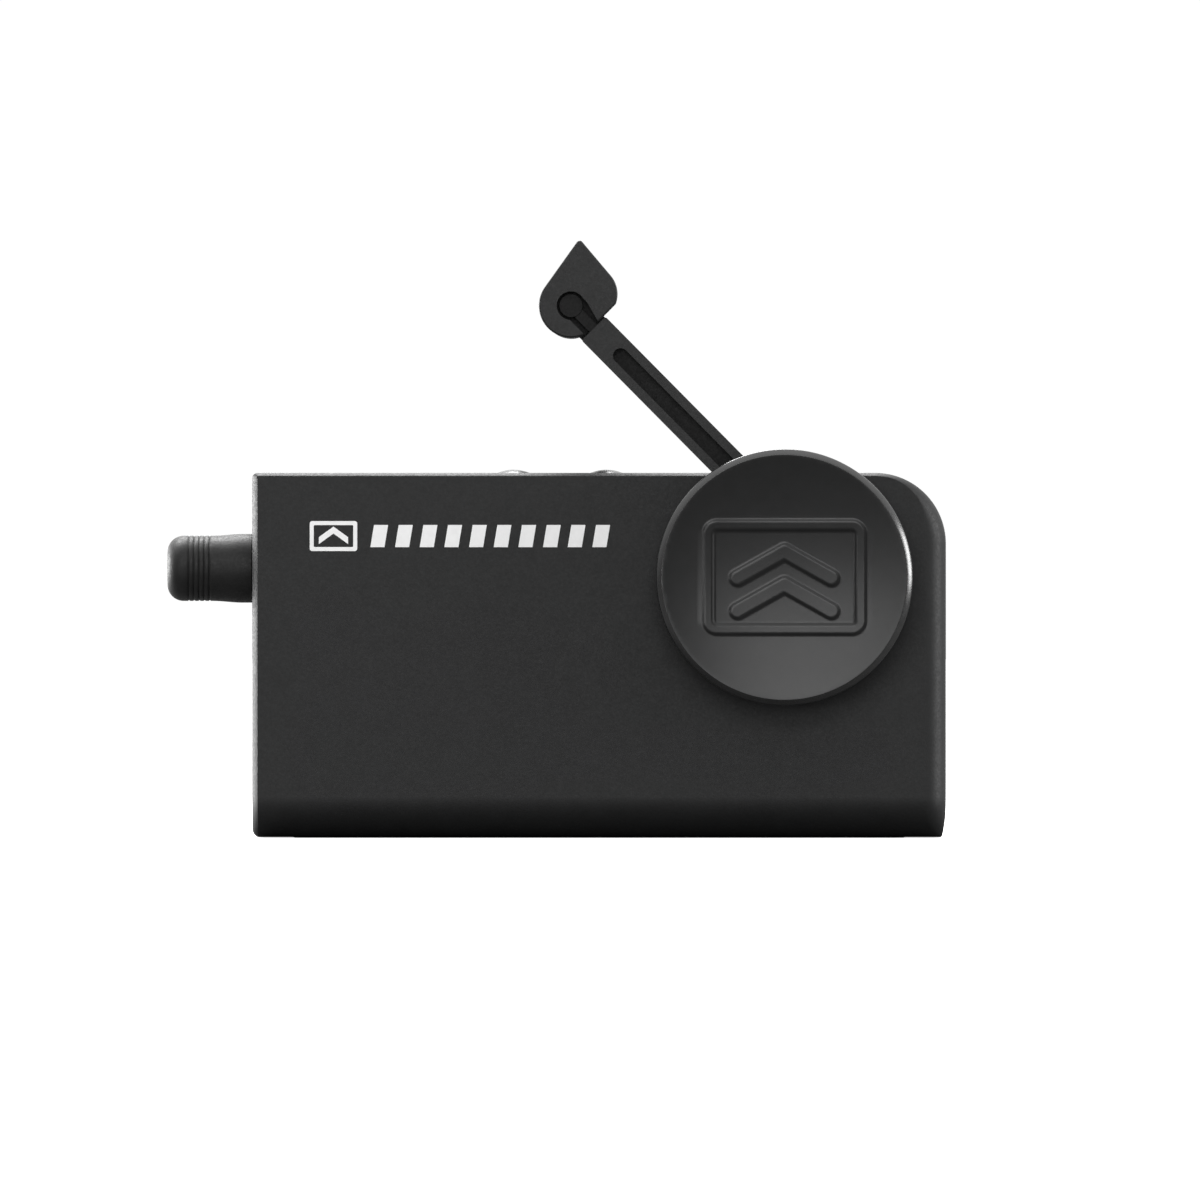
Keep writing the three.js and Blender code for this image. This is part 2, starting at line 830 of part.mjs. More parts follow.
const towards = (from, direction, distance) => ({
  x: from.x + distance * Math.cos(direction),
  z: from.z + distance * Math.sin(direction),
});
const IDLER = towards(
  HUB,
  IDLER_DIRECTION,
  pitchRadius(TEETH.sector) + pitchRadius(TEETH.small),
);
const PINION = towards(
  IDLER,
  PINION_DIRECTION,
  pitchRadius(TEETH.wheel) + pitchRadius(TEETH.small),
);
const halfPitch = Math.PI / TEETH.small;

function outputSector() {
  const { front, back, hub } = SECTOR_LAYER;
  const span = (Math.PI * TEETH.sectorCut) / TEETH.sector;
  const wedge = prismY(
    [
      new THREE.Vector2(0, 0),
      ...arc(0, 0, OVERSIZE, IDLER_DIRECTION - span, IDLER_DIRECTION + span, 4),
    ],
    front - 1,
    back + 1,
  );
  const toothed = solid(prismY(gearOutline(TEETH.sector, IDLER_DIRECTION), front, back));
  return cut(
    toothed.intersect(solid(wedge)).add(solid(rodY(hub, front, back))),
    rodY(SHAFT.radius + CLEARANCE, front - 1, back + 1),
  );
}

function idlerGear() {
  const wheel = gearOutline(TEETH.wheel, PINION_DIRECTION);
  const small = gearOutline(TEETH.small, IDLER_DIRECTION + Math.PI + halfPitch);
  return cut(
    joined(
      prismY(wheel, WHEEL_LAYER.front, WHEEL_LAYER.back),
      prismY(small, WHEEL_LAYER.back - 0.5, SECTOR_LAYER.back),
    ),
    rodY(AXLE_RADIUS + CLEARANCE, -OVERSIZE, OVERSIZE, 0, 0, 16),
  );
}

const drivePinion = () =>
  cut(
    solid(
      prismY(
        gearOutline(TEETH.small, PINION_DIRECTION + Math.PI + halfPitch),
        WHEEL_LAYER.front,
        WHEEL_LAYER.back,
      ),
    ),
    rodY(AXLE_RADIUS + CLEARANCE, -OVERSIZE, OVERSIZE, 0, 0, 16),
  );

const motorShaft = () =>
  solid(rodY(AXLE_RADIUS, MOTOR.shaftFront, MOTOR.shaftBack, 0, 0, 16));

function idlerAxle() {
  const { front, headRadius, headHeight } = IDLER_AXLE;
  const seat = PLATE.back + CLEARANCE;
  return joined(
    rodY(AXLE_RADIUS, front, seat + headHeight / 2, 0, 0, 16),
    rodY(headRadius, seat, seat + headHeight, 0, 0, 16),
  );
}

function gearPlate() {
  const outline = filleted(PLATE.corners, 3);
  const drill = (radius, x, z) => rodY(radius, PLATE.front - 1, PLATE.back + 1, x, z, 16);
  return cut(
    solid(prismY(outline, PLATE.front, PLATE.back)),
    drill(BUSH.outer + CLEARANCE, HUB.x, HUB.z),
    drill(AXLE_RADIUS + CLEARANCE, IDLER.x, IDLER.z),
    drill(HOLE.motor, PINION.x, PINION.z),
    drill(HOLE.motorScrew, PINION.x, PINION.z + MOTOR.screwCircle),
    drill(HOLE.motorScrew, PINION.x, PINION.z - MOTOR.screwCircle),
    ...PLATE_SCREWS.map(([x, z]) => drill(HOLE.plate, x, z)),
  );
}

const GEARBOX_FRONT = PLATE.back + CLEARANCE;
const GEARBOX_BACK = GEARBOX_FRONT + MOTOR.gearboxDepth;

function gearboxCase() {
  const drill = (radius, depth, z) =>
    rodY(radius, GEARBOX_FRONT - 1, GEARBOX_FRONT + depth, 0, z, 16);
  return cut(
    solid(rodY(MOTOR.gearboxRadius, GEARBOX_FRONT, GEARBOX_BACK, 0, 0, 32)),
    drill(AXLE_RADIUS + CLEARANCE, MOTOR.shaftBore, 0),
    drill(HOLE.motorScrew, MOTOR.screwBore, MOTOR.screwCircle),
    drill(HOLE.motorScrew, MOTOR.screwBore, -MOTOR.screwCircle),
  );
}

function motorCan() {
  const { canRadius, canRound, nubRadius } = MOTOR;
  const front = GEARBOX_BACK + CLEARANCE;
  const back = front + MOTOR.canDepth;
  return solid(
    turned(
      [
        [0, front],
        [canRadius, front],
        [canRadius, back - canRound],
        [canRadius - canRound, back],
        [nubRadius, back],
        [nubRadius, back + MOTOR.nubHeight],
        [0, back + MOTOR.nubHeight],
      ],
      28,
    ),
  );
}

function limitCam() {
  const down = -Math.PI / 2;
  const lobe = prismY(
    [
      new THREE.Vector2(0, 0),
      ...arc(0, 0, CAM.lobe, down - CAM.lobeHalf, down + CAM.lobeHalf, 5),
    ],
    CAM.front,
    CAM.back,
  );
  return cut(
    joined(rodY(CAM.radius, CAM.front, CAM.back), lobe),
    rodY(SHAFT.radius + CLEARANCE, CAM.front - 1, CAM.back + 1),
  );
}

// A micro switch on the plate, its plunger pointing at the shaft.
function limitSwitch(direction) {
  const { near, far, half, plungerTip, plungerRoot, plungerHalf } = SWITCH;
  const body = block(near, far, GEARBOX_FRONT, CAM.back + 0.2, -half, half);
  const plunger = block(
    plungerTip,
    plungerRoot,
    CAM.front + 0.4,
    CAM.back - 0.4,
    -plungerHalf,
    plungerHalf,
  );
  return solid(geometryOf(joined(body, plunger)).rotateY(-direction));
}

// ---- Electronics ----
function mainBoard() {
  const { left, right, front, back, bottom, top } = MAIN_BOARD;
  return cut(
    solid(block(left, right, front, back, bottom, top)),
    ...BOARD_SCREWS.map(([x, z]) => rodY(HOLE.board, front - 1, back + 1, x, z, 12)),
  );
}

function modularSocket() {
  const { left, right, front, back, bottom, top, wall, latch } = SOCKET;
  const plug = block(
    left - 1,
    right - SOCKET.endWall,
    front + SOCKET.frontWall,
    back - SOCKET.backWall,
    bottom + wall,
    top - wall,
  );
  const notch = block(
    left - 1,
    left + latch.depth,
    front + latch.wall,
    front + wall,
    bottom + latch.margin,
    top - latch.margin,
  );
  return cut(solid(block(left, right, front, back, bottom, top)), plug, notch);
}

function boardRibbon() {
  const { y, z, radius, thickness, low, front, left, right } = RIBBON;
  const inner = radius - thickness;
  const outline = [
    new THREE.Vector2(y + inner, low),
    new THREE.Vector2(y + radius, low),
    ...arc(y, z, radius, 0, Math.PI / 2, 6),
    new THREE.Vector2(front, z + radius),
    new THREE.Vector2(front, z + inner),
    ...arc(y, z, inner, Math.PI / 2, 0, 6),
  ];
  return solid(prismX(outline, left, right));
}

function tactSwitch(x) {
  const { half, top, stemRadius, stemTop } = TACT;
  const seat = CONTROL_BOARD.top + CLEARANCE;
  return joined(
    block(x - half, x + half, CONTROL_Y - half, CONTROL_Y + half, seat, top),
    rodZ(stemRadius, seat + 1, stemTop, x, CONTROL_Y, 12),
  );
}

function button(x) {
  const { radius, proud, flange, low, flangeTop, crown } = BUTTON;
  const profile = [
    [0, low],
    [flange, low],
    [flange, flangeTop],
    [radius, flangeTop],
    ...crown.map(([out, up]) => [radius * out, BODY.top + proud * up]),
  ];
  return solid(turned(profile).rotateX(Math.PI / 2).translate(x, CONTROL_Y, 0));
}

// ---- Knob and potentiometer ----
function potentiometer() {
  const { left, right, half } = POT;
  return cut(
    joined(
      block(left, right, CONTROL_Y - half, CONTROL_Y + half, KNOB.z - half, KNOB.z + half),
      rodX(POT.bushRadius, POT.bushEnd, left + 0.2, CONTROL_Y, KNOB.z),
    ),
    rodX(AXLE_RADIUS + CLEARANCE, POT.bushEnd - 1, POT.shaftRight + CLEARANCE, CONTROL_Y, KNOB.z),
  );
}

const potNut = () =>
  cut(
    solid(rodX(POT.nutRadius, POT.bushEnd, POT.nutFrom, CONTROL_Y, KNOB.z, 6)),
    rodX(POT.bushRadius + CLEARANCE, POT.bushEnd - 1, POT.nutFrom + 1, CONTROL_Y, KNOB.z),
  );

const potShaft = () =>
  solid(rodX(AXLE_RADIUS, POT.shaftLeft, POT.shaftRight, CONTROL_Y, KNOB.z));

function adjusterKnob() {
  const grooves = Array.from({ length: KNOB.rings }, (_, i) => {
    const x = KNOB.firstRing - i * KNOB.ringPitch;
    return [
      [KNOB.gripRadius, x + KNOB.ringHalf],
      [KNOB.gripRadius - KNOB.ringDepth, x],
      [KNOB.gripRadius, x - KNOB.ringHalf],
    ];
  }).flat();
  const dome = arc(
    KNOB.gripRadius - KNOB.endRadius,
    KNOB.end + KNOB.endRadius,
    KNOB.endRadius,
    0,
    -Math.PI / 2,
    4,
  ).map(({ x, y }) => [x, y]);
  const profile = [
    [0, KNOB.base],
    [KNOB.radius, KNOB.base],
    [KNOB.radius, KNOB.taperFrom],
    [KNOB.gripRadius, KNOB.taperTo],
    ...grooves.filter(([, x]) => x < KNOB.taperTo - 0.1),
    ...dome,
    [0, KNOB.end],
  ];
  const body = turned(profile, 24)
    .rotateZ(-Math.PI / 2)
    .translate(0, CONTROL_Y, KNOB.z);
  return cut(
    solid(body),
    rodX(KNOB.pocketRadius, KNOB.pocketEnd, KNOB.base + 1, CONTROL_Y, KNOB.z),
    rodX(AXLE_RADIUS + CLEARANCE, KNOB.boreEnd, KNOB.base + 1, CONTROL_Y, KNOB.z),
  );
}

// ---- Assembly ----
piece("front_shell", frontShell(), FINISH.shell);
piece("rear_shell", rearShell(), FINISH.shell);
piece("base_pad", basePad(), FINISH.rubber);
piece("phone_pad", phonePad(), FINISH.foam);
CASE_SCREWS.forEach(([x, z], i) =>
  piece(
    `case_screw_${i + 1}`,
    screw({ x, z, seat: 12.6, facing: 1, head: 2.3, height: 1.6, shank: 1.2, length: 21 }),
    FINISH.steel,
  ),
);

piece("hub_cap", hubCap(), FINISH.satin, hubGroup);
piece("hub_screw", hubScrew(), FINISH.steel, hubGroup);
piece("hub_shaft", hubShaft(), FINISH.steel, hubGroup);
const wallBush = flangedBush(BUSH.wallFrom, INSIDE.front + CLEARANCE);
const plateBush = flangedBush(BUSH.plateFrom, PLATE.back + CLEARANCE);
piece("front_bush", wallBush, FINISH.brass, hubGroup);
piece("plate_bush", plateBush, FINISH.brass, hubGroup);
piece("output_sector", outputSector(), FINISH.nylon, hubGroup);
piece("limit_cam", limitCam(), FINISH.nylon, hubGroup);
const { radius: clipRadius, front: clipFront, back: clipBack } = SHAFT_CLIP;
const shaftClip = ring(SHAFT.radius + CLEARANCE, clipRadius, clipFront, clipBack);
piece("shaft_clip", shaftClip, FINISH.steel, hubGroup);
Object.entries(SWITCH.directions).forEach(([end, direction]) =>
  piece(`limit_switch_${end}`, limitSwitch(direction), FINISH.component, hubGroup),
);

piece("lift_arm", liftArm(), FINISH.shell, armGroup);
piece("tip_pin", tipPin(), FINISH.steel, tipGroup);
piece("lift_tip", liftTip(), FINISH.shell, tipGroup);
piece("tip_pad", tipPad(), FINISH.rubber, tipGroup);

piece("gear_plate", gearPlate(), FINISH.steel);
PLATE_SCREWS.forEach(([x, z], i) =>
  piece(
    `plate_screw_${i + 1}`,
    screw({
      x,
      z,
      seat: PLATE.back + CLEARANCE,
      facing: 1,
      head: 2.2,
      height: 1.4,
      shank: 1,
      length: 8.5,
    }),
    FINISH.steel,
  ),
);

const idlerGroup = new THREE.Group();
idlerGroup.position.set(IDLER.x, 0, IDLER.z);
lifter.add(idlerGroup);
piece("idler_gear", idlerGear(), FINISH.nylon, idlerGroup);
piece("idler_axle", idlerAxle(), FINISH.steel, idlerGroup);
const idlerClip = ring(
  AXLE_RADIUS + CLEARANCE,
  IDLER_CLIP.radius,
  IDLER_CLIP.front,
  IDLER_CLIP.back,
);
piece("idler_clip", idlerClip, FINISH.steel, idlerGroup);

const motorGroup = new THREE.Group();
motorGroup.position.set(PINION.x, 0, PINION.z);
lifter.add(motorGroup);
piece("drive_pinion", drivePinion(), FINISH.brass, motorGroup);
piece("motor_shaft", motorShaft(), FINISH.steel, motorGroup);
piece("gearbox_case", gearboxCase(), FINISH.component, motorGroup);
piece("motor_can", motorCan(), FINISH.steel, motorGroup);
[MOTOR.screwCircle, -MOTOR.screwCircle].forEach((z, i) =>
  piece(
    `motor_screw_${i + 1}`,
    screw({
      x: 0,
      z,
      seat: PLATE.front - CLEARANCE,
      facing: -1,
      head: 1.8,
      height: 1.3,
      shank: 0.8,
      length: 4.9,
    }),
    FINISH.steel,
    motorGroup,
  ),
);

const BOARD_FACE = MAIN_BOARD.front - CLEARANCE; // where the parts on the board sit
piece("main_board", mainBoard(), FINISH.board);
piece(
  "processor_chip",
  solid(block(CHIP.left, CHIP.right, CHIP.front, BOARD_FACE, CHIP.bottom, CHIP.top)),
  FINISH.component,
);
piece(
  "capacitor",
  solid(rodY(CAPACITOR.radius, CAPACITOR.front, BOARD_FACE, CAPACITOR.x, CAPACITOR.z)),
  FINISH.component,
);
piece("modular_socket", modularSocket(), FINISH.component);
BOARD_SCREWS.forEach(([x, z], i) =>
  piece(
    `board_screw_${i + 1}`,
    screw({ x, z, seat: BOARD_FACE, facing: -1, head: 1.9, height: 1.3, shank: 0.9, length: 3.5 }),
    FINISH.steel,
  ),
);
piece("board_ribbon", boardRibbon(), FINISH.nylon);
piece(
  "control_board",
  solid(
    block(
      CONTROL_BOARD.left,
      CONTROL_BOARD.right,
      CONTROL_BOARD.front,
      CONTROL_BOARD.back,
      CONTROL_BOARD.bottom,
      CONTROL_BOARD.top,
    ),
  ),
  FINISH.board,
);
Object.entries(BUTTON_X).forEach(([action, x]) => {
  piece(`${action}_switch`, tactSwitch(x), FINISH.component);
  piece(`${action}_button`, button(x), FINISH.satin);
});

piece("potentiometer", potentiometer(), FINISH.component);
piece("pot_nut", potNut(), FINISH.steel);
piece("pot_shaft", potShaft(), FINISH.steel);
piece("adjuster_knob", adjusterKnob(), FINISH.rubber);

export default lifter;
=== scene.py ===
# Looks for the motorised handset lifter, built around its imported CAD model.
# Lengths are in metres. Sizes in this script are written in millimetres and scaled by MM.
import json
import math

import bmesh
import bpy
from mathutils import Matrix, Vector
from mathutils.geometry import delaunay_2d_cdt


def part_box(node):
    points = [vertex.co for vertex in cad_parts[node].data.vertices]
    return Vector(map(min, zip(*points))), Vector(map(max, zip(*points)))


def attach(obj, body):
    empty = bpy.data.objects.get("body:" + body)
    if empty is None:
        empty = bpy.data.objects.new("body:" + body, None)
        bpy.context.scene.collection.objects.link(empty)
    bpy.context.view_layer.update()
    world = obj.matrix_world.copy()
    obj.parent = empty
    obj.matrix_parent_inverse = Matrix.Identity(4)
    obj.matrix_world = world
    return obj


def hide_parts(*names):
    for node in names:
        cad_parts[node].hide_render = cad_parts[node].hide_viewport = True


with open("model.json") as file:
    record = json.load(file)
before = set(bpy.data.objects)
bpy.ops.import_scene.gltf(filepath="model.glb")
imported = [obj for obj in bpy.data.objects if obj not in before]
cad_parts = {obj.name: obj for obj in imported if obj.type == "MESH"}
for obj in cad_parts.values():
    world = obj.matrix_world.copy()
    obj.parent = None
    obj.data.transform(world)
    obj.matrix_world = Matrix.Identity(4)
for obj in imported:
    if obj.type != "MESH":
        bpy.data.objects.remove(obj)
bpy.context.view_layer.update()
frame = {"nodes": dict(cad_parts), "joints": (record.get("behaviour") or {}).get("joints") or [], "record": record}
MM = 0.001
NODES = frame["nodes"]
JOINTS = {joint["name"]: joint for joint in frame["joints"]}


def millimetres(point):
    return Vector(point) / MM


def box_mm(node):
    low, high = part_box(node)
    return low / MM, high / MM


# ---- Places, in millimetres, from the frame, and sizes of the whole box ----
FRONT_LOW, FRONT_HIGH = box_mm("front_shell")
REAR_LOW, REAR_HIGH = box_mm("rear_shell")
LEFT, RIGHT = FRONT_LOW.x, FRONT_HIGH.x
FRONT, BACK = FRONT_LOW.y, REAR_HIGH.y
BOTTOM, TOP = FRONT_LOW.z, FRONT_HIGH.z
FRONT_SEAM, REAR_SEAM = FRONT_HIGH.y, REAR_LOW.y
HUB = millimetres(JOINTS["arm_lift"]["pos_m"])
PIVOT = millimetres(JOINTS["tip_swivel"]["pos_m"])
KNOB_AXIS = millimetres(JOINTS["knob_turn"]["pos_m"])
WALL = 2.0
GAP = 0.3  # between parts that must not touch
CORNER_RADIUS = 9.7  # of the top right corner
SILL_RADIUS = 5.6  # of the lower front edge


# ---- Camera and stage ----
PICTURE_WIDTH = 164.2 * MM  # what the camera takes in at the front face
CAMERA_DISTANCE = 3.0
CAMERA_CENTRE = (0.12 * MM, 32.6 * MM)


def make_camera():
    data = bpy.data.cameras.new("camera")
    data.sensor_width = 36
    data.lens = 36 / PICTURE_WIDTH * CAMERA_DISTANCE
    data.clip_start = 0.1
    data.clip_end = 100
    camera = bpy.data.objects.new("camera", data)
    x, z = CAMERA_CENTRE
    camera.location = (x, FRONT * MM - CAMERA_DISTANCE, z)
    camera.rotation_euler = (math.pi / 2, 0, 0)
    bpy.context.scene.collection.objects.link(camera)
    bpy.context.scene.camera = camera


make_camera()
bpy.context.scene.view_settings.view_transform = "Standard"


# ---- Node helpers ----
def new_material(name):
    made = bpy.data.materials.new(name)
    made.use_nodes = True
    tree = made.node_tree
    return made, tree, tree.nodes["Principled BSDF"]


def add_node(tree, kind, inputs=None, **settings):
    node = tree.nodes.new(kind)
    for key, value in settings.items():
        setattr(node, key, value)
    for key, value in (inputs or {}).items():
        node.inputs[key].default_value = value
    return node


def noise(tree, scale, detail=2.0, stretch=(1, 1, 1)):
    place = add_node(tree, "ShaderNodeTexCoord")
    mapping = add_node(tree, "ShaderNodeMapping", {"Scale": stretch})
    texture = add_node(tree, "ShaderNodeTexNoise", {"Scale": scale, "Detail": detail})
    tree.links.new(place.outputs["Object"], mapping.inputs["Vector"])
    tree.links.new(mapping.outputs["Vector"], texture.inputs["Vector"])
    return texture.outputs["Fac"]


def remap(tree, value, low, high, from_low=0.3, from_high=0.7):
    node = add_node(
        tree,
        "ShaderNodeMapRange",
        {"From Min": from_low, "From Max": from_high, "To Min": low, "To Max": high},
    )
    tree.links.new(value, node.inputs["Value"])
    return node.outputs["Result"]


def blend_colours(tree, value, first, second):
    node = add_node(tree, "ShaderNodeMix", data_type="RGBA")
    node.inputs["A"].default_value = (*first, 1)
    node.inputs["B"].default_value = (*second, 1)
    tree.links.new(value, node.inputs["Factor"])
    return node.outputs["Result"]


def bump(tree, height, distance, base=None):
    node = add_node(tree, "ShaderNodeBump", {"Strength": 1.0, "Distance": distance})
    tree.links.new(height, node.inputs["Height"])
    if base is not None:
        tree.links.new(base, node.inputs["Normal"])
    return node.outputs["Normal"]


def surface(
    name,
    dark,
    light,
    roughness,
    patch_scale=300,
    grain_scale=3500,
    grain_depth=0.01,
    swell_depth=0.0,
    metallic=0.0,
    specular=0.5,
    ior=1.5,
    stretch=(1, 1, 1),
):
    """A solid finish with mottled colour, uneven roughness, fine grain and a soft swell."""
    made, tree, shader = new_material(name)
    patches = noise(tree, patch_scale, 4.0, stretch)
    grain = noise(tree, grain_scale, 2.0, stretch)
    mottle = remap(tree, patches, 0.0, 1.0)
    tree.links.new(blend_colours(tree, mottle, dark, light), shader.inputs["Base Color"])
    low, high = roughness
    tree.links.new(remap(tree, grain, low, high), shader.inputs["Roughness"])
    normal = bump(tree, grain, grain_depth * MM)
    if swell_depth:
        normal = bump(tree, patches, swell_depth * MM, base=normal)
    tree.links.new(normal, shader.inputs["Normal"])
    shader.inputs["Metallic"].default_value = metallic
    shader.inputs["Specular IOR Level"].default_value = specular
    shader.inputs["IOR"].default_value = ior
    return made


def grey(value, warmth=0.0):
    """A grey in linear light, with a little more red and less blue where it is warm."""
    return (value * (1 + warmth), value, value * (1 - warmth))


def circuit_board():
    """Green solder mask with copper tracks showing through as paler lines."""
    made, tree, shader = new_material("circuit_board")
    place = add_node(tree, "ShaderNodeTexCoord")
    tracks = add_node(tree, "ShaderNodeTexVoronoi", {"Scale": 420.0}, feature="DISTANCE_TO_EDGE")
    tree.links.new(place.outputs["Object"], tracks.inputs["Vector"])
    line = remap(tree, tracks.outputs["Distance"], 1.0, 0.0, 0.02, 0.06)
    colour = blend_colours(tree, line, (0.008, 0.06, 0.028), (0.03, 0.16, 0.06))
    tree.links.new(colour, shader.inputs["Base Color"])
    tree.links.new(bump(tree, line, 0.02 * MM), shader.inputs["Normal"])
    shader.inputs["Roughness"].default_value = 0.35
    return made


# Each row: name, darker and lighter colour, least and most roughness, texture scales of the
# patches and of the grain, and the grain's depth in millimetres.
FINISH = {
    "shell": surface(
        "textured_shell", grey(0.005, -0.04), grey(0.0075, -0.04), (0.52, 0.62), 420, 2600,
        0.016, swell_depth=0.004, specular=0.4,
    ),
    "arm": surface(
        "arm_plastic", grey(0.005, -0.03), grey(0.008, -0.03), (0.44, 0.56), 500, 3200, 0.01,
        specular=0.38,
    ),
    "satin": surface(
        "satin_cap", grey(0.0025, -0.03), grey(0.0045, -0.03), (0.28, 0.32), 500, 3000,
        0.0004, specular=0.46,
    ),
    # Painted shade: a darker, duller finish for the groove's floor, the neck, the boss and the keyhole's floor
    "painted_shade": surface(
        "painted_shade_recess", grey(0.004), grey(0.007), (0.55, 0.7), 500, 3200, 0.01, specular=0.25,
    ),
    "polished_rim": surface(
        "polished_rim", grey(0.008), grey(0.012), (0.2, 0.28), 500, 3000, 0.001,
        specular=0.6, ior=1.6,
    ),
    "grip": surface(
        "moulded_grip", grey(0.004), grey(0.008), (0.48, 0.62), 900, 2800, 0.016, specular=0.35,
    ),
    "rubber": surface(
        "soft_rubber", grey(0.008), grey(0.015), (0.5, 0.75), 900, 2800, 0.03,
        swell_depth=0.02, specular=0.3,
    ),
    "foam": surface("pad_foam", grey(0.03), grey(0.06), (0.85, 0.98), 1500, 2500, 0.08),
    "print": surface("white_print", grey(0.88), grey(0.94), (0.5, 0.62), 800, 3500, 0.004),
    "nylon": surface(
        "gear_nylon", grey(0.62, 0.05), grey(0.74, 0.04), (0.4, 0.55), 300, 2500, 0.006,
    ),
    "steel": surface(
        "plated_steel", grey(0.42), grey(0.56), (0.24, 0.4), 300, 1600, 0.004,
        metallic=1.0, stretch=(1, 6, 1),
    ),
    "brass": surface(
        "turned_brass", (0.5, 0.34, 0.12), (0.62, 0.44, 0.18), (0.22, 0.36), 300, 1800, 0.004,
        metallic=1.0,
    ),
    "component": surface("component_black", grey(0.014), grey(0.024), (0.4, 0.6), 600, 3000, 0.01),
    "board": circuit_board(),
}
SLOT_FINISH = {
    "shell_plastic": "shell",
    "satin_plastic": "satin",
    "soft_rubber": "rubber",
    "pad_foam": "foam",
    "white_plastic": "nylon",
    "steel": "steel",
    "bearing_brass": "brass",
    "circuit_board": "board",
    "component_plastic": "component",
}


def finish_cad_nodes():
    for entry in frame["record"]["subparts"]:
        mesh = NODES[entry["node"]].data
        mesh.materials.clear()
        mesh.materials.append(FINISH[SLOT_FINISH[entry["material_slot"]]])


finish_cad_nodes()


# ---- Mesh helpers: outlines are lists of (u, v) in millimetres ----
def arc(u, v, radius, start, end, steps):
    """Points on a circle between two angles in degrees."""
    return [
        (
            u + radius * math.cos(math.radians(start + (end - start) * i / steps)),
            v + radius * math.sin(math.radians(start + (end - start) * i / steps)),
        )
        for i in range(steps + 1)
    ]


def rounded_rectangle(left, right, bottom, top, radius, steps=8):
    return (
        arc(right - radius, bottom + radius, radius, -90, 0, steps)
        + arc(right - radius, top - radius, radius, 0, 90, steps)
        + arc(left + radius, top - radius, radius, 90, 180, steps)
        + arc(left + radius, bottom + radius, radius, 180, 270, steps)
    )


AXIS_ORDER = {
    "X": lambda u, v, w: (w, u, v),
    "Y": lambda u, v, w: (u, w, v),
    "Z": lambda u, v, w: (u, v, w),
}


def add_object(name, mesh):
    made = bpy.data.objects.new(name, mesh)
    bpy.context.scene.collection.objects.link(made)
    return made


def object_from(name, work):
    bmesh.ops.recalc_face_normals(work, faces=work.faces)
    mesh = bpy.data.meshes.new(name)
    work.to_mesh(mesh)
    work.free()
    return add_object(name, mesh)


def prism(outline, axis, low, high, name="tool"):
    """A straight solid: the outline's u and v are the other two axes in X, Y, Z order."""
    order = AXIS_ORDER[axis]
    work = bmesh.new()
    ends = [
        [work.verts.new(Vector(order(u, v, w)) * MM) for u, v in outline] for w in (low, high)
    ]
    work.faces.new(ends[0])
    work.faces.new(ends[1])
    count = len(outline)
    for i in range(count):
        j = (i + 1) % count
        work.faces.new((ends[0][i], ends[0][j], ends[1][j], ends[1][i]))
    bmesh.ops.remove_doubles(work, verts=work.verts, dist=1e-7)
    return object_from(name, work)


def block(low, high, name="tool"):
    outline = [(low[0], low[1]), (high[0], low[1]), (high[0], high[1]), (low[0], high[1])]
    return prism(outline, "Z", low[2], high[2], name)


def rod(axis, radius, low, high, u=0.0, v=0.0, sides=48, name="tool"):
    return prism(arc(u, v, radius, 0, 360 - 360 / sides, sides - 1), axis, low, high, name)


def turned(profile, axis, u=0.0, v=0.0, sides=96, name="tool"):
    """A profile of (radius, height along the axis) turned about that axis through (u, v)."""
    order = AXIS_ORDER[axis]
    work = bmesh.new()
    rings = []
    for radius, height in profile:
        if radius < 1e-6:
            rings.append([work.verts.new(Vector(order(u, v, height)) * MM)])
            continue
        points = arc(u, v, radius, 0, 360 - 360 / sides, sides - 1)
        rings.append([work.verts.new(Vector(order(a, b, height)) * MM) for a, b in points])
    for lower, upper in zip(rings, rings[1:]):
        for i in range(sides):
            j = (i + 1) % sides
            corners = [
                lower[i % len(lower)],
                lower[j % len(lower)],
                upper[j % len(upper)],
                upper[i % len(upper)],
            ]
            unique = list(dict.fromkeys(corners))
            work.faces.new(unique)
    return object_from(name, work)


def apply_modifiers(piece):
    graph = bpy.context.evaluated_depsgraph_get()
    mesh = bpy.data.meshes.new_from_object(piece.evaluated_get(graph))
    piece.modifiers.clear()
    piece.data = mesh


def combine(piece, tool, operation):
    change = piece.modifiers.new("combine", "BOOLEAN")
    change.operation = operation
    change.solver = "EXACT"
    change.object = tool
    apply_modifiers(piece)
    bpy.data.objects.remove(tool)


def cut(piece, *tools):
    for tool in tools:
        combine(piece, tool, "DIFFERENCE")


def join(piece, *tools):
    for tool in tools:
        combine(piece, tool, "UNION")


def common(piece, *tools):
    for tool in tools:
        combine(piece, tool, "INTERSECT")


def bevel(piece, width, segments=3, angle=35):
    change = piece.modifiers.new("bevel", "BEVEL")
    change.width = width * MM
    change.segments = segments
    change.limit_method = "ANGLE"
    change.angle_limit = math.radians(angle)
    change.miter_outer = "MITER_ARC"
    change.harden_normals = False
    apply_modifiers(piece)


def smooth(piece, angle=32):
    """Smooth shading that breaks at sharp edges, with flat faces kept flat."""
    work = bmesh.new()
    work.from_mesh(piece.data)
    bmesh.ops.remove_doubles(work, verts=work.verts, dist=2e-7)
    bmesh.ops.dissolve_degenerate(work, dist=1e-7, edges=work.edges)
    for face in work.faces:
        face.smooth = True
    for edge in work.edges:
        edge.smooth = not edge.is_manifold or edge.calc_face_angle(0) < math.radians(angle)
    work.to_mesh(piece.data)
    work.free()
    weighted = piece.modifiers.new("weighted", "WEIGHTED_NORMAL")
    weighted.keep_sharp = True


def polish(piece, finish, chosen):
    """Gives the faces that chosen() picks, by their middle in millimetres, another finish."""
    piece.data.materials.append(FINISH[finish])
    index = len(piece.data.materials) - 1
    for polygon in piece.data.polygons:
        if chosen(polygon.center / MM):
            polygon.material_index = index


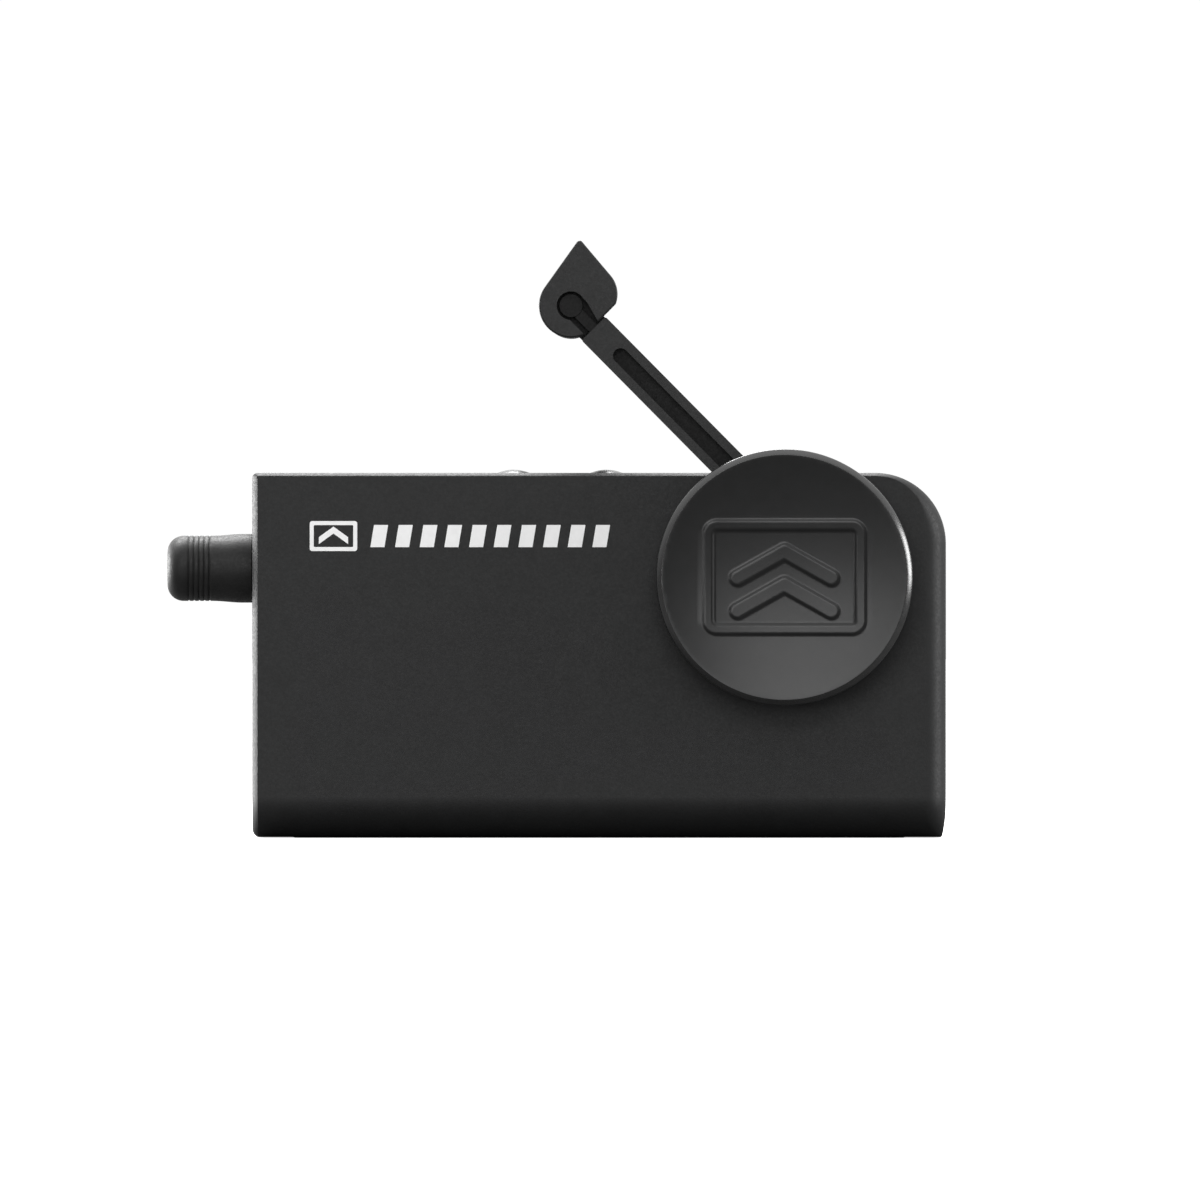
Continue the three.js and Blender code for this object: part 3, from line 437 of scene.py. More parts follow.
def settle(piece, name, finish, body, slot, *replaced, angle=32):
    """The last step for every piece: name, shading, material and its place in the frame."""
    piece.name = name
    piece.data.name = name
    smooth(piece, angle)
    piece.data.materials.clear()
    piece.data.materials.append(FINISH[finish])
    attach(piece, body)
    if replaced:
        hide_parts(*replaced)
    return piece


# ---- Box ----
BEYOND = 80.0  # past every side of the object, for solids that cut right across it
CLEAR = 5.0  # past one face of the box, for solids that cut through its wall
TUCK_HEIGHT = 4.7  # the right end curves in at its foot
TUCK_RADIUS = 22.3
TUCK_ANGLE = -12.2  # where that curve meets the underside, in degrees
FOOT_RADIUS = 1.0
TOP_LEFT_RADIUS = 0.75
BACK_EDGE_RADIUS = 0.6
RIGHT_HEEL = 0.65
FILLET_STEPS = 8
SILL_STEPS = 14
SILL_LENGTH = SILL_RADIUS * math.pi / 2  # of the skin that curls round the sill
CORNER_STEPS = 32
SMALL_STEPS = 6
# Front edges: width seen from the front, depth, and how flat (0 is round, 1 is a chamfer).
LEFT_EDGE = (0.75, 1.35, 0.75)
TOP_EDGE = (0.42, 0.85, 0.75)
CHEEK_EDGE = (3.0, 3.0, 0.0)
LEFT_FOOT = (FOOT_RADIUS, FOOT_RADIUS, 0.0)
RIGHT_FOOT = (0.3, 0.3, 0.0)


def front_outline(inset):
    """The box seen from the front, as a plain loop, for its hollow."""
    corner = CORNER_RADIUS - inset
    right, top = RIGHT - inset, TOP - inset
    foot = arc(right - TUCK_RADIUS, BOTTOM + TUCK_HEIGHT, TUCK_RADIUS, TUCK_ANGLE, 0, 6)
    foot[0] = (foot[0][0], BOTTOM + inset)
    return (
        [(LEFT + inset, BOTTOM + inset)]
        + foot
        + arc(right - corner, top - corner, corner, 0, 90, 24)
        + [(LEFT + inset, top)]
    )


def side_outline(inset):
    """The box seen from its right end, for its hollow."""
    sill = SILL_RADIUS - inset
    front, bottom = FRONT + inset, BOTTOM + inset
    return arc(front + sill, bottom + sill, sill, 180, 270, SILL_STEPS) + [
        (BACK - inset, bottom),
        (BACK - inset, TOP - inset),
        (front, TOP - inset),
    ]


def tuck(z):
    """How far the right end curves in at a height."""
    depth = max(0.0, TUCK_HEIGHT - (z - BOTTOM))
    return TUCK_RADIUS - math.sqrt(TUCK_RADIUS**2 - depth**2)


def ease(t):
    """A smooth step from 0 to 1."""
    t = min(1.0, max(0.0, t))
    return t * t * (3 - 2 * t)


def between(first, second, share):
    """A share of the way from one tuple of numbers to another."""
    return tuple(a + (b - a) * share for a, b in zip(first, second))


def rim_arc(u, v, radius, start, end, steps):
    """Points of an outline's arc, each with its direction towards the arc's centre."""
    points = arc(u, v, radius, start, end, steps)
    return [(a, b, (u - a) / radius, (v - b) / radius) for a, b in points]


def top_rim():
    """The outline's top: the small left corner, then the large right corner."""
    small, large = TOP_LEFT_RADIUS, CORNER_RADIUS
    left = rim_arc(LEFT + small, TOP - small, small, 180, 90, SMALL_STEPS)
    right = rim_arc(RIGHT - large, TOP - large, large, 90, 0, CORNER_STEPS)
    return left, right


def bend(x, v, depth):
    """A point of the front skin, which curls under the box along the sill."""
    sill_top = BOTTOM + SILL_RADIUS
    if v >= sill_top:
        return Vector((x, FRONT + depth, v))
    along = sill_top - v
    radius = SILL_RADIUS - depth
    if along <= SILL_LENGTH:
        turn = along / SILL_RADIUS
        y = FRONT + SILL_RADIUS - radius * math.cos(turn)
        return Vector((x, y, sill_top - radius * math.sin(turn)))
    return Vector((x, FRONT + SILL_RADIUS + along - SILL_LENGTH, BOTTOM + depth))


def skin_from(name, faces):
    """A closed mesh from faces given as lists of points in millimetres."""
    work = bmesh.new()
    made = {}
    for face in faces:
        corners = []
        for point in face:
            key = tuple(round(value, 5) for value in point)
            if key not in made:
                made[key] = work.verts.new(Vector(point) * MM)
            if made[key] not in corners:
                corners.append(made[key])
        if len(corners) > 2 and work.faces.get(corners) is None:
            work.faces.new(corners)
    return object_from(name, work)


def ring_faces(rings, closed):
    """Four-sided faces between each ring of points and the next."""
    faces = []
    for outer, inner in zip(rings, rings[1:]):
        count = len(outer)
        for i in range(count if closed else count - 1):
            j = (i + 1) % count
            faces.append([outer[i], outer[j], inner[j], inner[i]])
    return faces


def front_rim(rows):
    """The front skin's rim, from the left seam over the top to the right seam.

    Each item has the point, its direction inwards and its edge's shape.
    """
    sill_top = BOTTOM + SILL_RADIUS
    left_corner, right_corner = top_rim()

    def side(v, edge, facing, shape, foot):
        """A rim point on a side: its edge narrows to the foot's as the skin curls under."""
        under = ease((sill_top - v) / SILL_LENGTH) ** 2
        return (edge, v, facing, 0.0, between(shape, foot, under))

    rim = [side(v, LEFT, 1.0, LEFT_EDGE, LEFT_FOOT) for v in reversed(rows)]
    for i, point in enumerate(left_corner):
        rim.append((*point, between(LEFT_EDGE, TOP_EDGE, i / (len(left_corner) - 1))))
    for i, point in enumerate(right_corner):
        share = ease(i / (len(right_corner) - 1)) ** 1.5
        rim.append((*point, between(TOP_EDGE, CHEEK_EDGE, share)))
    return rim + [side(v, RIGHT, -1.0, CHEEK_EDGE, RIGHT_FOOT) for v in rows]


def front_form():
    """The front half's outside: each edge is rounded to its own radius."""
    sill_top = BOTTOM + SILL_RADIUS
    rows = [sill_top - SILL_LENGTH * i / SILL_STEPS for i in range(SILL_STEPS + 1)]
    rows.append(rows[-1] - (FRONT_SEAM - FRONT - SILL_RADIUS))
    rim = front_rim(rows)
    rings = []
    for k in range(FILLET_STEPS + 1):
        t = k / FILLET_STEPS
        angle = math.radians(90 * t)
        ring = []
        for u, v, nu, nv, (width, depth, flatness) in rim:
            inset = width * (flatness * t + (1 - flatness) * (1 - math.cos(angle)))
            rise = depth * (flatness * (1 - t) + (1 - flatness) * (1 - math.sin(angle)))
            point = bend(u + nu * inset, v + nv * inset, rise)
            if u > 0:
                point.x -= tuck(point.z)
            ring.append(point)
        rings.append(ring)
    faces = ring_faces(rings, False)
    outer, inner = rings[0], rings[-1]
    count, rows_count = len(rim), len(rows)
    for i in range(rows_count - 1):
        faces.append([inner[i], inner[i + 1], inner[count - 2 - i], inner[count - 1 - i]])
    faces.append(inner[rows_count - 1 : count - rows_count + 1])
    seam = [Vector((point.x, FRONT_SEAM, point.z)) for point in outer]
    for i in range(1, count - 2):
        faces.append([outer[i], outer[i + 1], seam[i + 1], seam[i]])
    ends = [ring[-1] for ring in rings] + [ring[0] for ring in reversed(rings)]
    faces.append(seam[1 : count - 1] + ends[1:-1])
    return skin_from("front", faces)


def rear_form():
    """The rear half's outside, rounded round its back edge."""
    foot, heel = FOOT_RADIUS, RIGHT_HEEL
    reach = TUCK_RADIUS - heel
    rise = TUCK_HEIGHT - heel
    foot_x = RIGHT - TUCK_RADIUS + math.sqrt(reach**2 - rise**2)
    lean = -math.degrees(math.asin(rise / reach))
    left_corner, right_corner = top_rim()
    rim = rim_arc(LEFT + foot, BOTTOM + foot, foot, 270, 180, SMALL_STEPS)
    rim += left_corner + right_corner
    tuck_x, tuck_z = RIGHT - TUCK_RADIUS, BOTTOM + TUCK_HEIGHT
    rim += rim_arc(tuck_x, tuck_z, TUCK_RADIUS, 0, lean, SMALL_STEPS)
    rim += rim_arc(foot_x, BOTTOM + heel, heel, lean, -90, SMALL_STEPS)[1:]
    rings = [[Vector((u, REAR_SEAM, v)) for u, v, _, _ in rim]]
    for k in range(FILLET_STEPS + 1):
        angle = math.radians(90 * k / FILLET_STEPS)
        inset = BACK_EDGE_RADIUS * (1 - math.cos(angle))
        y = BACK - BACK_EDGE_RADIUS * (1 - math.sin(angle))
        rings.append([Vector((u + nu * inset, y, v + nv * inset)) for u, v, nu, nv in rim])
    return skin_from("rear", ring_faces(rings, True) + [rings[0], rings[-1]])


def cavity_form():
    """The hollow of the box, inside its walls."""
    form = prism(side_outline(WALL), "X", LEFT + WALL, RIGHT + CLEAR)
    common(form, prism(front_outline(WALL), "Y", FRONT - CLEAR, BACK + CLEAR))
    return form


def copy_of(piece):
    return add_object("copy", piece.data.copy())


def middle_mm(node):
    low, high = box_mm(node)
    return (low + high) / 2


CASE_SCREWS = [middle_mm(f"case_screw_{i}") for i in range(1, 5)]
PLATE_SCREWS = [middle_mm(f"plate_screw_{i}") for i in range(1, 4)]
BOARD_SCREWS = [middle_mm(f"board_screw_{i}") for i in range(1, 3)]
PAD_RADIUS = 2.0
POST_ROOT = 0.5  # how far a post sinks into the wall that it stands on
FRONT_POST_RADIUS, REAR_POST_RADIUS = 2.8, 3.6
PLATE_POST_RADIUS, BOARD_POST_RADIUS = 2.6, 2.2
# Screw holes: radius, then where they start and end along Y.
FRONT_HOLE = (1.5, -10.0, 1.0)
PLATE_HOLE = (1.3, -13.0, 1.0)
REAR_HOLE = (1.5, -1.0, 13.0)
HEAD_HOLE = (2.7, 12.3, 20.0)
BOARD_HOLE = (1.2, 12.0, 14.6)
HUB_HOLE_RADIUS, KNOB_HOLE_RADIUS, BUTTON_HOLE_RADIUS = 4.3, 2.8, 2.65
SHELVES = (-27.0, 1.0)  # left sides of the control board's two shelves
SHELF_WIDTH, SHELF_BOTTOM, SHELF_GAP = 2.0, 39.5, 0.7
LIP_ROOT, LIP_HEIGHT = 0.3, 1.2  # how far the lip is sunk in the wall, and its height on it
LIP_REACH = 1.0  # how far it reaches past each side of the seam
LIP_SLACK, LIP_THICKNESS = 0.08, 0.8
SEAM_DEPTH, SEAM_SLACK = 0.7, 0.03  # depth of the seam from outside, and what stays open inside
WINDOW_REACH = 3.0  # of the cut for the socket, to each side of the wall's outside


def on_screw(screw, radius, low, high, sides=24):
    """A rod along a screw's axis."""
    return rod("Y", radius, low, high, screw.x, screw.z, sides)


def pad_outline(low, high, spare=0.0):
    """A pad's outline from two opposite corners, grown by a spare width."""
    return rounded_rectangle(
        low[0] - spare, high[0] + spare, low[1] - spare, high[1] + spare, PAD_RADIUS + spare
    )


def pad_recess(node, axis):
    """The shallow pocket that a pad sits in."""
    low, high = box_mm(node)
    if axis == "Z":
        return prism(pad_outline(low.xy, high.xy, GAP), "Z", low.z - CLEAR, high.z + GAP)
    return prism(pad_outline(low.xz, high.xz, GAP), "Y", low.y - GAP, high.y + CLEAR)


def make_front_case():
    """The front shell, with its posts, shelves, screw holes and openings."""
    case = front_form()
    cut(case, cavity_form())
    inner = FRONT + WALL - POST_ROOT
    for screw in CASE_SCREWS:
        join(case, on_screw(screw, FRONT_POST_RADIUS, inner, FRONT_SEAM))
    plate_front = box_mm("gear_plate")[0].y
    for screw in PLATE_SCREWS:
        join(case, on_screw(screw, PLATE_POST_RADIUS, inner, plate_front - GAP))
    shelf_top = box_mm("control_board")[0].z - GAP
    for left in SHELVES:
        far_end = (left + SHELF_WIDTH, plate_front - SHELF_GAP, shelf_top)
        join(case, block((left, inner, SHELF_BOTTOM), far_end))
    for screw in CASE_SCREWS:
        cut(case, on_screw(screw, *FRONT_HOLE, sides=16))
    for screw in PLATE_SCREWS:
        cut(case, on_screw(screw, *PLATE_HOLE, sides=16))
    cut(case, rod("Y", HUB_HOLE_RADIUS, FRONT - CLEAR, FRONT + CLEAR, HUB.x, HUB.z))
    knob_y, knob_z = KNOB_AXIS.yz
    cut(case, rod("X", KNOB_HOLE_RADIUS, LEFT - CLEAR, LEFT + CLEAR, knob_y, knob_z))
    for node in ("raise_button", "lower_button"):
        centre = middle_mm(node)
        cut(case, rod("Z", BUTTON_HOLE_RADIUS, TOP - CLEAR, TOP + CLEAR, centre.x, centre.y))
    cut(case, pad_recess("base_pad", "Z"))
    settle(case, "front_case", "shell", "housing", "shell_plastic", "front_shell")


def seam_lip():
    """A lip inside the rear half's rim that closes the seam against light."""
    root, inner = front_outline(WALL - LIP_ROOT), front_outline(WALL + LIP_SLACK)
    lip = prism(root, "Y", REAR_SEAM, REAR_SEAM + LIP_HEIGHT)
    join(lip, prism(inner, "Y", FRONT_SEAM - LIP_REACH, REAR_SEAM + LIP_REACH))
    filler = front_outline(SEAM_DEPTH)
    join(lip, prism(filler, "Y", FRONT_SEAM + SEAM_SLACK, REAR_SEAM + POST_ROOT))
    hollow = front_outline(WALL + LIP_THICKNESS)
    cut(lip, prism(hollow, "Y", FRONT_SEAM - CLEAR, REAR_SEAM + CLEAR))
    return lip


def make_rear_case():
    """The rear shell, with its lip, posts, screw holes and the socket's window."""
    case = rear_form()
    cut(case, cavity_form())
    join(case, seam_lip())
    inner = BACK - WALL + POST_ROOT
    board_back = box_mm("main_board")[1].y
    for screw in CASE_SCREWS:
        join(case, on_screw(screw, REAR_POST_RADIUS, REAR_SEAM, inner, sides=32))
    for screw in BOARD_SCREWS:
        join(case, on_screw(screw, BOARD_POST_RADIUS, board_back + GAP, inner))
    for screw in CASE_SCREWS:
        cut(case, on_screw(screw, *REAR_HOLE, sides=16))
        cut(case, on_screw(screw, *HEAD_HOLE, sides=40))
    for screw in BOARD_SCREWS:
        cut(case, on_screw(screw, *BOARD_HOLE, sides=16))
    low, high = box_mm("modular_socket")
    window = rounded_rectangle(low.y + 1.6, high.y - 1.1, low.z + 1.9, high.z - 1.9, 0.5, 4)
    cut(case, prism(window, "X", LEFT - WINDOW_REACH, LEFT + WINDOW_REACH))
    cut(case, pad_recess("phone_pad", "Y"), pad_recess("base_pad", "Z"))
    settle(case, "rear_case", "shell", "housing", "shell_plastic", "rear_shell")


def make_pads():
    """The rubber pad under the box and the foam pad on its back."""
    low, high = box_mm("base_pad")
    pad = prism(pad_outline(low.xy, high.xy), "Z", low.z, high.z)
    bevel(pad, 0.2, 2)
    settle(pad, "base_grip", "rubber", "housing", "soft_rubber", "base_pad")
    low, high = box_mm("phone_pad")
    pad = prism(pad_outline(low.xz, high.xz), "Y", low.y, high.y)
    bevel(pad, 0.15, 2)
    settle(pad, "adhesive_pad", "foam", "housing", "pad_foam", "phone_pad")


def make_case_screw(index):
    """A pan-head screw with a cross slot and ring threads."""
    low, high = box_mm(f"case_screw_{index}")
    x, z = (low.x + high.x) / 2, (low.z + high.z) / 2
    head, shank, height = 2.3, 1.2, 1.6
    pitch, thread_depth, tip = 0.8, 0.2, 0.6
    seat = high.y - height
    rise = height * 0.55  # of the head's rounded part
    crown = [
        (head * math.cos(a), high.y - rise + rise * math.sin(a))
        for a in (math.radians(step * 15) for step in range(1, 6))
    ]
    root = shank - thread_depth
    profile = [(0, low.y), (tip, low.y)]
    turns = int((seat - low.y) / pitch) - 1
    for i in range(turns):
        y = low.y + pitch / 2 + i * pitch
        profile += [(root, y), (shank, y + 0.3), (root, y + 0.6)]
    profile += [(shank, seat - 0.2), (shank, seat), (head, seat), (head, high.y - rise)]
    screw = turned(profile + crown + [(0, high.y)], "Y", x, z, 40)
    slot_half, slot_long, slot_floor = 0.3, 1.35, high.y - 0.9
    for wide, tall in ((slot_long, slot_half), (slot_half, slot_long)):
        near_end, far_end = (x - wide, slot_floor, z - tall), (x + wide, high.y + 1, z + tall)
        cut(screw, block(near_end, far_end))
    settle(screw, f"rear_screw_{index}", "steel", "housing", "steel", f"case_screw_{index}")


def make_socket():
    """The modular socket, with a latch notch and six sprung contacts."""
    low, high = box_mm("modular_socket")
    socket = block(low, high)
    left = low.x - 1
    mouth = ((left, low.y + 1.8, low.z + 2), (high.x - 4, high.y - 1.3, high.z - 2))
    latch = ((left, low.y + 0.5, low.z + 4.8), (low.x + 7, low.y + 2, high.z - 4.8))
    cut(socket, block(*mouth), block(*latch))
    bevel(socket, 0.15, 2)
    settle(socket, "line_socket", "component", "housing", "component_plastic", "modular_socket")
    count, pitch, half = 6, 1.02, 0.16
    root_x, end_x, wall_y = low.x + 1.5, high.x - 5, high.y - 1.35
    path = [
        (root_x, wall_y),
        (root_x + 0.6, wall_y),
        (end_x, wall_y - 2.25),
        (end_x, wall_y - 2.6),
        (root_x, wall_y - 0.4),
    ]
    first = (low.z + high.z) / 2 - pitch * (count - 1) / 2
    places = [first + i * pitch for i in range(count)]
    contacts, *others = [prism(path, "Z", z - half, z + half) for z in places]
    join(contacts, *others)
    settle(contacts, "socket_contacts", "brass", "housing", "bearing_brass")


# ---- Hub cap ----
CAP_LOW, CAP_HIGH = box_mm("hub_cap")
CAP_RADIUS = (CAP_HIGH.x - CAP_LOW.x) / 2
DISH_EDGE = CAP_RADIUS - 0.8
DISH_DEPTH = 1.4
CAP_SIDES = 180
RELIEF = 0.2  # how far the emblem stands out
RELIEF_SOFTNESS = 0.24
EMBLEM_HALF = (11.1, 7.8)
FRAME_LINE, FRAME_RADIUS = 0.7, 1.2
CHEVRON_HALF, CHEVRON_RISE, CHEVRON_LINE = 6.4, 3.6, 1.05
CHEVRON_FEET = (-0.1, -4.6)  # heights of the two chevrons' feet
EMBLEM_MARGIN = 0.4
FINE_STEP, COARSE_STEP = 0.16, 0.48  # the net's steps on the emblem and beside it
NET_SPACE, EDGE_SPACE = 0.2, 0.25  # least space beside the fine net and the dish's edge
# The cap's rim and back, from the dish round to the hub's hole: how far in from the cap's
# edge, and how far behind its front or in front of its back.
CAP_RIM = [(0.76, 0.0), (0.71, 0.02), (0.1, 0.52), (0.03, 0.6), (0, 0.75)]
CAP_BACK = [(0, 0.5), (0.15, 0.15), (0.5, 0.0)]
CAP_SOCKET_RADIUS, CAP_SOCKET_DEPTH = 3.6, 1.9


def box_distance(u, v, half_u, half_v, radius):
    """Signed distance to a rounded rectangle round the middle."""
    du, dv = abs(u) - half_u + radius, abs(v) - half_v + radius
    return math.hypot(max(du, 0), max(dv, 0)) + min(max(du, dv), 0) - radius


def segment_distance(u, v, start, end):
    """Distance to a straight line between two points."""
    du, dv = end[0] - start[0], end[1] - start[1]
    t = ((u - start[0]) * du + (v - start[1]) * dv) / (du * du + dv * dv)
    t = min(1.0, max(0.0, t))
    return math.hypot(u - start[0] - t * du, v - start[1] - t * dv)


def chevron_distance(u, v, foot):
    """Signed distance to a rounded chevron whose feet are at a height."""
    peak = (0, foot + CHEVRON_RISE)
    left = segment_distance(u, v, (-CHEVRON_HALF, foot), peak)
    right = segment_distance(u, v, (CHEVRON_HALF, foot), peak)
    return min(left, right) - CHEVRON_LINE


def emblem_distance(u, v):
    """Signed distance to the emblem: a frame round two chevrons that point up."""
    half_u, half_v = (half - FRAME_LINE for half in EMBLEM_HALF)
    ring = abs(box_distance(u, v, half_u, half_v, FRAME_RADIUS)) - FRAME_LINE
    return min(ring, *(chevron_distance(u, v, foot) for foot in CHEVRON_FEET))


def relief_height(u, v):
    """How far the emblem stands out at a point of the dish."""
    return RELIEF * ease(0.5 - emblem_distance(u, v) / (2 * RELIEF_SOFTNESS))


def dish_height(radius):
    return CAP_LOW.y + DISH_DEPTH * (1 - (radius / DISH_EDGE) ** 2)


def grid(step, half_u, half_v):
    """Evenly spaced points over a rectangle round the middle."""
    columns, rows = int(half_u / step), int(half_v / step)
    return [
        Vector((i * step, j * step))
        for i in range(-columns, columns + 1)
        for j in range(-rows, rows + 1)
    ]


def make_cap():
    """A dished disc whose face is a fine net of points, lifted where the emblem is."""
    half_u, half_v = (half + EMBLEM_MARGIN for half in EMBLEM_HALF)
    points = grid(FINE_STEP, half_u, half_v)
    for point in grid(COARSE_STEP, DISH_EDGE, DISH_EDGE):
        beside = abs(point.x) > half_u + NET_SPACE or abs(point.y) > half_v + NET_SPACE
        if beside and point.length < DISH_EDGE - EDGE_SPACE:
            points.append(point)
    start, last = len(points), CAP_SIDES - 1
    points += [Vector(p) for p in arc(0, 0, DISH_EDGE, 0, 360 * last / CAP_SIDES, last)]
    loop = [(start + i, start + (i + 1) % CAP_SIDES) for i in range(CAP_SIDES)]
    verts, _, faces, *_ = delaunay_2d_cdt(points, loop, [], 1, 1e-5)
    work = bmesh.new()
    placed = []
    for point in verts:
        y = dish_height(point.length) - relief_height(point.x, point.y)
        placed.append(work.verts.new(Vector((HUB.x + point.x, y, HUB.z + point.y)) * MM))
    for face in faces:
        work.faces.new([placed[i] for i in face])
    hub = Vector((HUB.x, 0, HUB.z)) * MM
    edges = [edge for edge in work.edges if edge.is_boundary]
    profile = [(CAP_RADIUS - inset, CAP_LOW.y + depth) for inset, depth in CAP_RIM]
    profile += [(CAP_RADIUS - inset, CAP_HIGH.y - depth) for inset, depth in CAP_BACK]
    profile += [(CAP_SOCKET_RADIUS, CAP_HIGH.y - depth) for depth in (0.0, CAP_SOCKET_DEPTH)]
    for radius, y in profile:
        made = bmesh.ops.extrude_edge_only(work, edges=edges)["geom"]
        for vert in (item for item in made if isinstance(item, bmesh.types.BMVert)):
            out = Vector((vert.co.x - hub.x, 0, vert.co.z - hub.z)).normalized() * radius * MM
            vert.co = Vector((hub.x + out.x, y * MM, hub.z + out.z))
        edges = [item for item in made if isinstance(item, bmesh.types.BMEdge)]
    bmesh.ops.contextual_create(work, geom=edges)
    cap = object_from("cap", work)
    settle(cap, "cap_disc", "satin", "arm", "satin_plastic", "hub_cap", angle=60)
    cap.modifiers["weighted"].mode = "CORNER_ANGLE"  # even shading across the fine net
    rim_width, rim_depth = 0.75, 0.6

    def on_rim(middle):
        out = math.hypot(middle.x - HUB.x, middle.z - HUB.z)
        return out > CAP_RADIUS - rim_width and middle.y < CAP_LOW.y + rim_depth

    polish(cap, "polished_rim", on_rim)


# ---- Arm and tip ----
ARM_LOW, ARM_HIGH = box_mm("lift_arm")
LEAN = 134.7  # direction of the bar in degrees, from +X towards +Z
REACH = 46.9  # from the hub's axis to the pin, along the bar
OFFSET = 5.4  # of the bar's middle line, beside the hub's axis
SHOULDER = 42.5  # where the wide bar ends and the neck starts
SHOULDER_RADIUS = 0.3
ARM_WIDTH = 4.6
HUB_RADIUS, HUB_BORE = 8.0, 2.3
GROOVE_DEPTH = 1.5
GROOVE_HALF = 1.05
GROOVE_END = 38.3
ARM_FRONT, ARM_BACK = ARM_LOW.y, ARM_HIGH.y
NECK_HALF = 0.75
BOSS_RADIUS, BOSS_BORE = 1.6, 0.9
BOSS_BACK = ARM_FRONT + 1.4


def lean_over(piece):
    """Turns a piece drawn with the bar along +X round the hub to the bar's direction."""
    turn = Matrix.Rotation(math.radians(-LEAN), 4, "Y")
    piece.data.transform(Matrix.Translation(Vector((HUB.x, 0, HUB.z)) * MM) @ turn)
    return piece


def make_arm():
    """A grooved bar beside the hub's centre, with a thin neck and a boss for the pin."""
    line = -OFFSET
    arm = rod("Y", HUB_RADIUS, ARM_FRONT, ARM_BACK, sides=64)
    bottom, top = line - ARM_WIDTH / 2, line + ARM_WIDTH / 2
    corner = SHOULDER_RADIUS
    bar = [
        (0, bottom),
        *arc(SHOULDER - corner, bottom + corner, corner, -90, 0, 5),
        *arc(SHOULDER - corner, top - corner, corner, 0, 90, 5),
        (0, top),
    ]
    join(arm, prism(bar, "Y", ARM_FRONT, ARM_BACK))
    half = GROOVE_HALF
    groove = [(0, line + half), (0, line - half)]
    groove += arc(GROOVE_END - half, line, half, -90, 90, 14)
    cut(arm, prism(groove, "Y", ARM_FRONT - 1, ARM_FRONT + GROOVE_DEPTH))
    bevel(arm, 0.18, 3)
    bottom, top = line - NECK_HALF, line + NECK_HALF
    neck = [(SHOULDER - 1, bottom), (REACH, bottom), (REACH, top), (SHOULDER - 1, top)]
    link = prism(neck, "Y", ARM_FRONT + 0.6, BOSS_BACK)
    join(link, rod("Y", BOSS_RADIUS, ARM_FRONT + 0.45, BOSS_BACK, REACH, line))
    bevel(link, 0.16, 3)
    cut(link, rod("Y", BOSS_BORE, ARM_FRONT + 0.8, ARM_BACK, REACH, line, 32))
    join(arm, link)
    cut(arm, rod("Y", HUB_BORE, ARM_FRONT - 1, ARM_BACK + 1, sides=40))
    lean_over(arm)
    settle(arm, "swing_arm", "arm", "arm", "shell_plastic", "lift_arm")

    def sunken(middle):
        """Whether a face is on the neck, on the boss or on the groove's floor, which get painted shade."""
        on_link = math.hypot(middle.x - PIVOT.x, middle.z - PIVOT.z) < REACH - SHOULDER - 0.1
        return on_link or abs(middle.y - ARM_FRONT - GROOVE_DEPTH) < 0.02

    # Painted shade: the neck, the boss and the groove's floor get a darker, duller finish
    polish(arm, "painted_shade", sunken)


TIP_LOW, TIP_HIGH = box_mm("lift_tip")
TIP_SHRINK = 0.12  # how much slimmer the far end is
KEY_DEPTH = 2.0  # of the recess in the bar's end that holds the neck and the boss
KEY_RADIUS = 1.95
PIN_BORE, PIN_BORE_END = 1.1, -9.0
# A tab on the bar reaches behind the end of the arm: how far before the pin it starts and
# ends, half its height, and where it ends along Y.
TAB_START, TAB_END, TAB_HALF = 5.6, 3.4, 2.2
TAB_BACK = -13.8
# The bar's section, with its points measured from the pin.
LOBE_RADIUS = 4.4
HEEL, HEEL_RADIUS = Vector((2.44, 1.57)), 3.94
APEX, APEX_RADIUS = Vector((1.16, 9.19)), 0.45
HEEL_CORNER = Vector((6.16, 0.2))
SQUARE_END = 4.19  # from the pin to the flat that faces the arm


def teardrop():
    """The lifting bar's section about its pin: two round lobes and a ridge."""
    left_angle = math.degrees(math.atan2(APEX.y, APEX.x) + math.acos(LOBE_RADIUS / APEX.length))
    rise = APEX - HEEL
    right_angle = math.degrees(
        math.atan2(rise.y, rise.x) - math.acos(HEEL_RADIUS / rise.length)
    )
    from_heel = HEEL_CORNER - HEEL
    corner_angle = math.degrees(math.atan2(from_heel.y, from_heel.x))
    cut_angle = LEAN - 180 - math.degrees(math.acos(SQUARE_END / LOBE_RADIUS))
    # The ridge arc touches both straight sides.
    opening = math.radians(left_angle - right_angle)
    middle = math.radians((left_angle + right_angle) / 2)
    drop = APEX_RADIUS / math.cos(opening / 2)
    ridge = APEX - Vector((math.cos(middle), math.sin(middle))) * drop
    return (
        arc(HEEL.x, HEEL.y, HEEL_RADIUS, corner_angle, right_angle, 16)
        + arc(ridge.x, ridge.y, APEX_RADIUS, right_angle, left_angle, 8)
        + arc(0, 0, LOBE_RADIUS, left_angle, cut_angle + 360, 32)
    )


def bar_form():
    """The whole lifting bar, slimmer towards its far end."""
    bar = prism([(PIVOT.x + u, PIVOT.z + v) for u, v in teardrop()], "Y", TIP_LOW.y, TIP_HIGH.y)
    bevel(bar, 0.28, 3, angle=50)
    length = TIP_HIGH.y - TIP_LOW.y
    for vert in bar.data.vertices:
        scale = 1 - TIP_SHRINK * (vert.co.y / MM - TIP_LOW.y) / length
        vert.co.x = (PIVOT.x + (vert.co.x / MM - PIVOT.x) * scale) * MM
        vert.co.z = (PIVOT.z + (vert.co.z / MM - PIVOT.z) * scale) * MM
    return bar


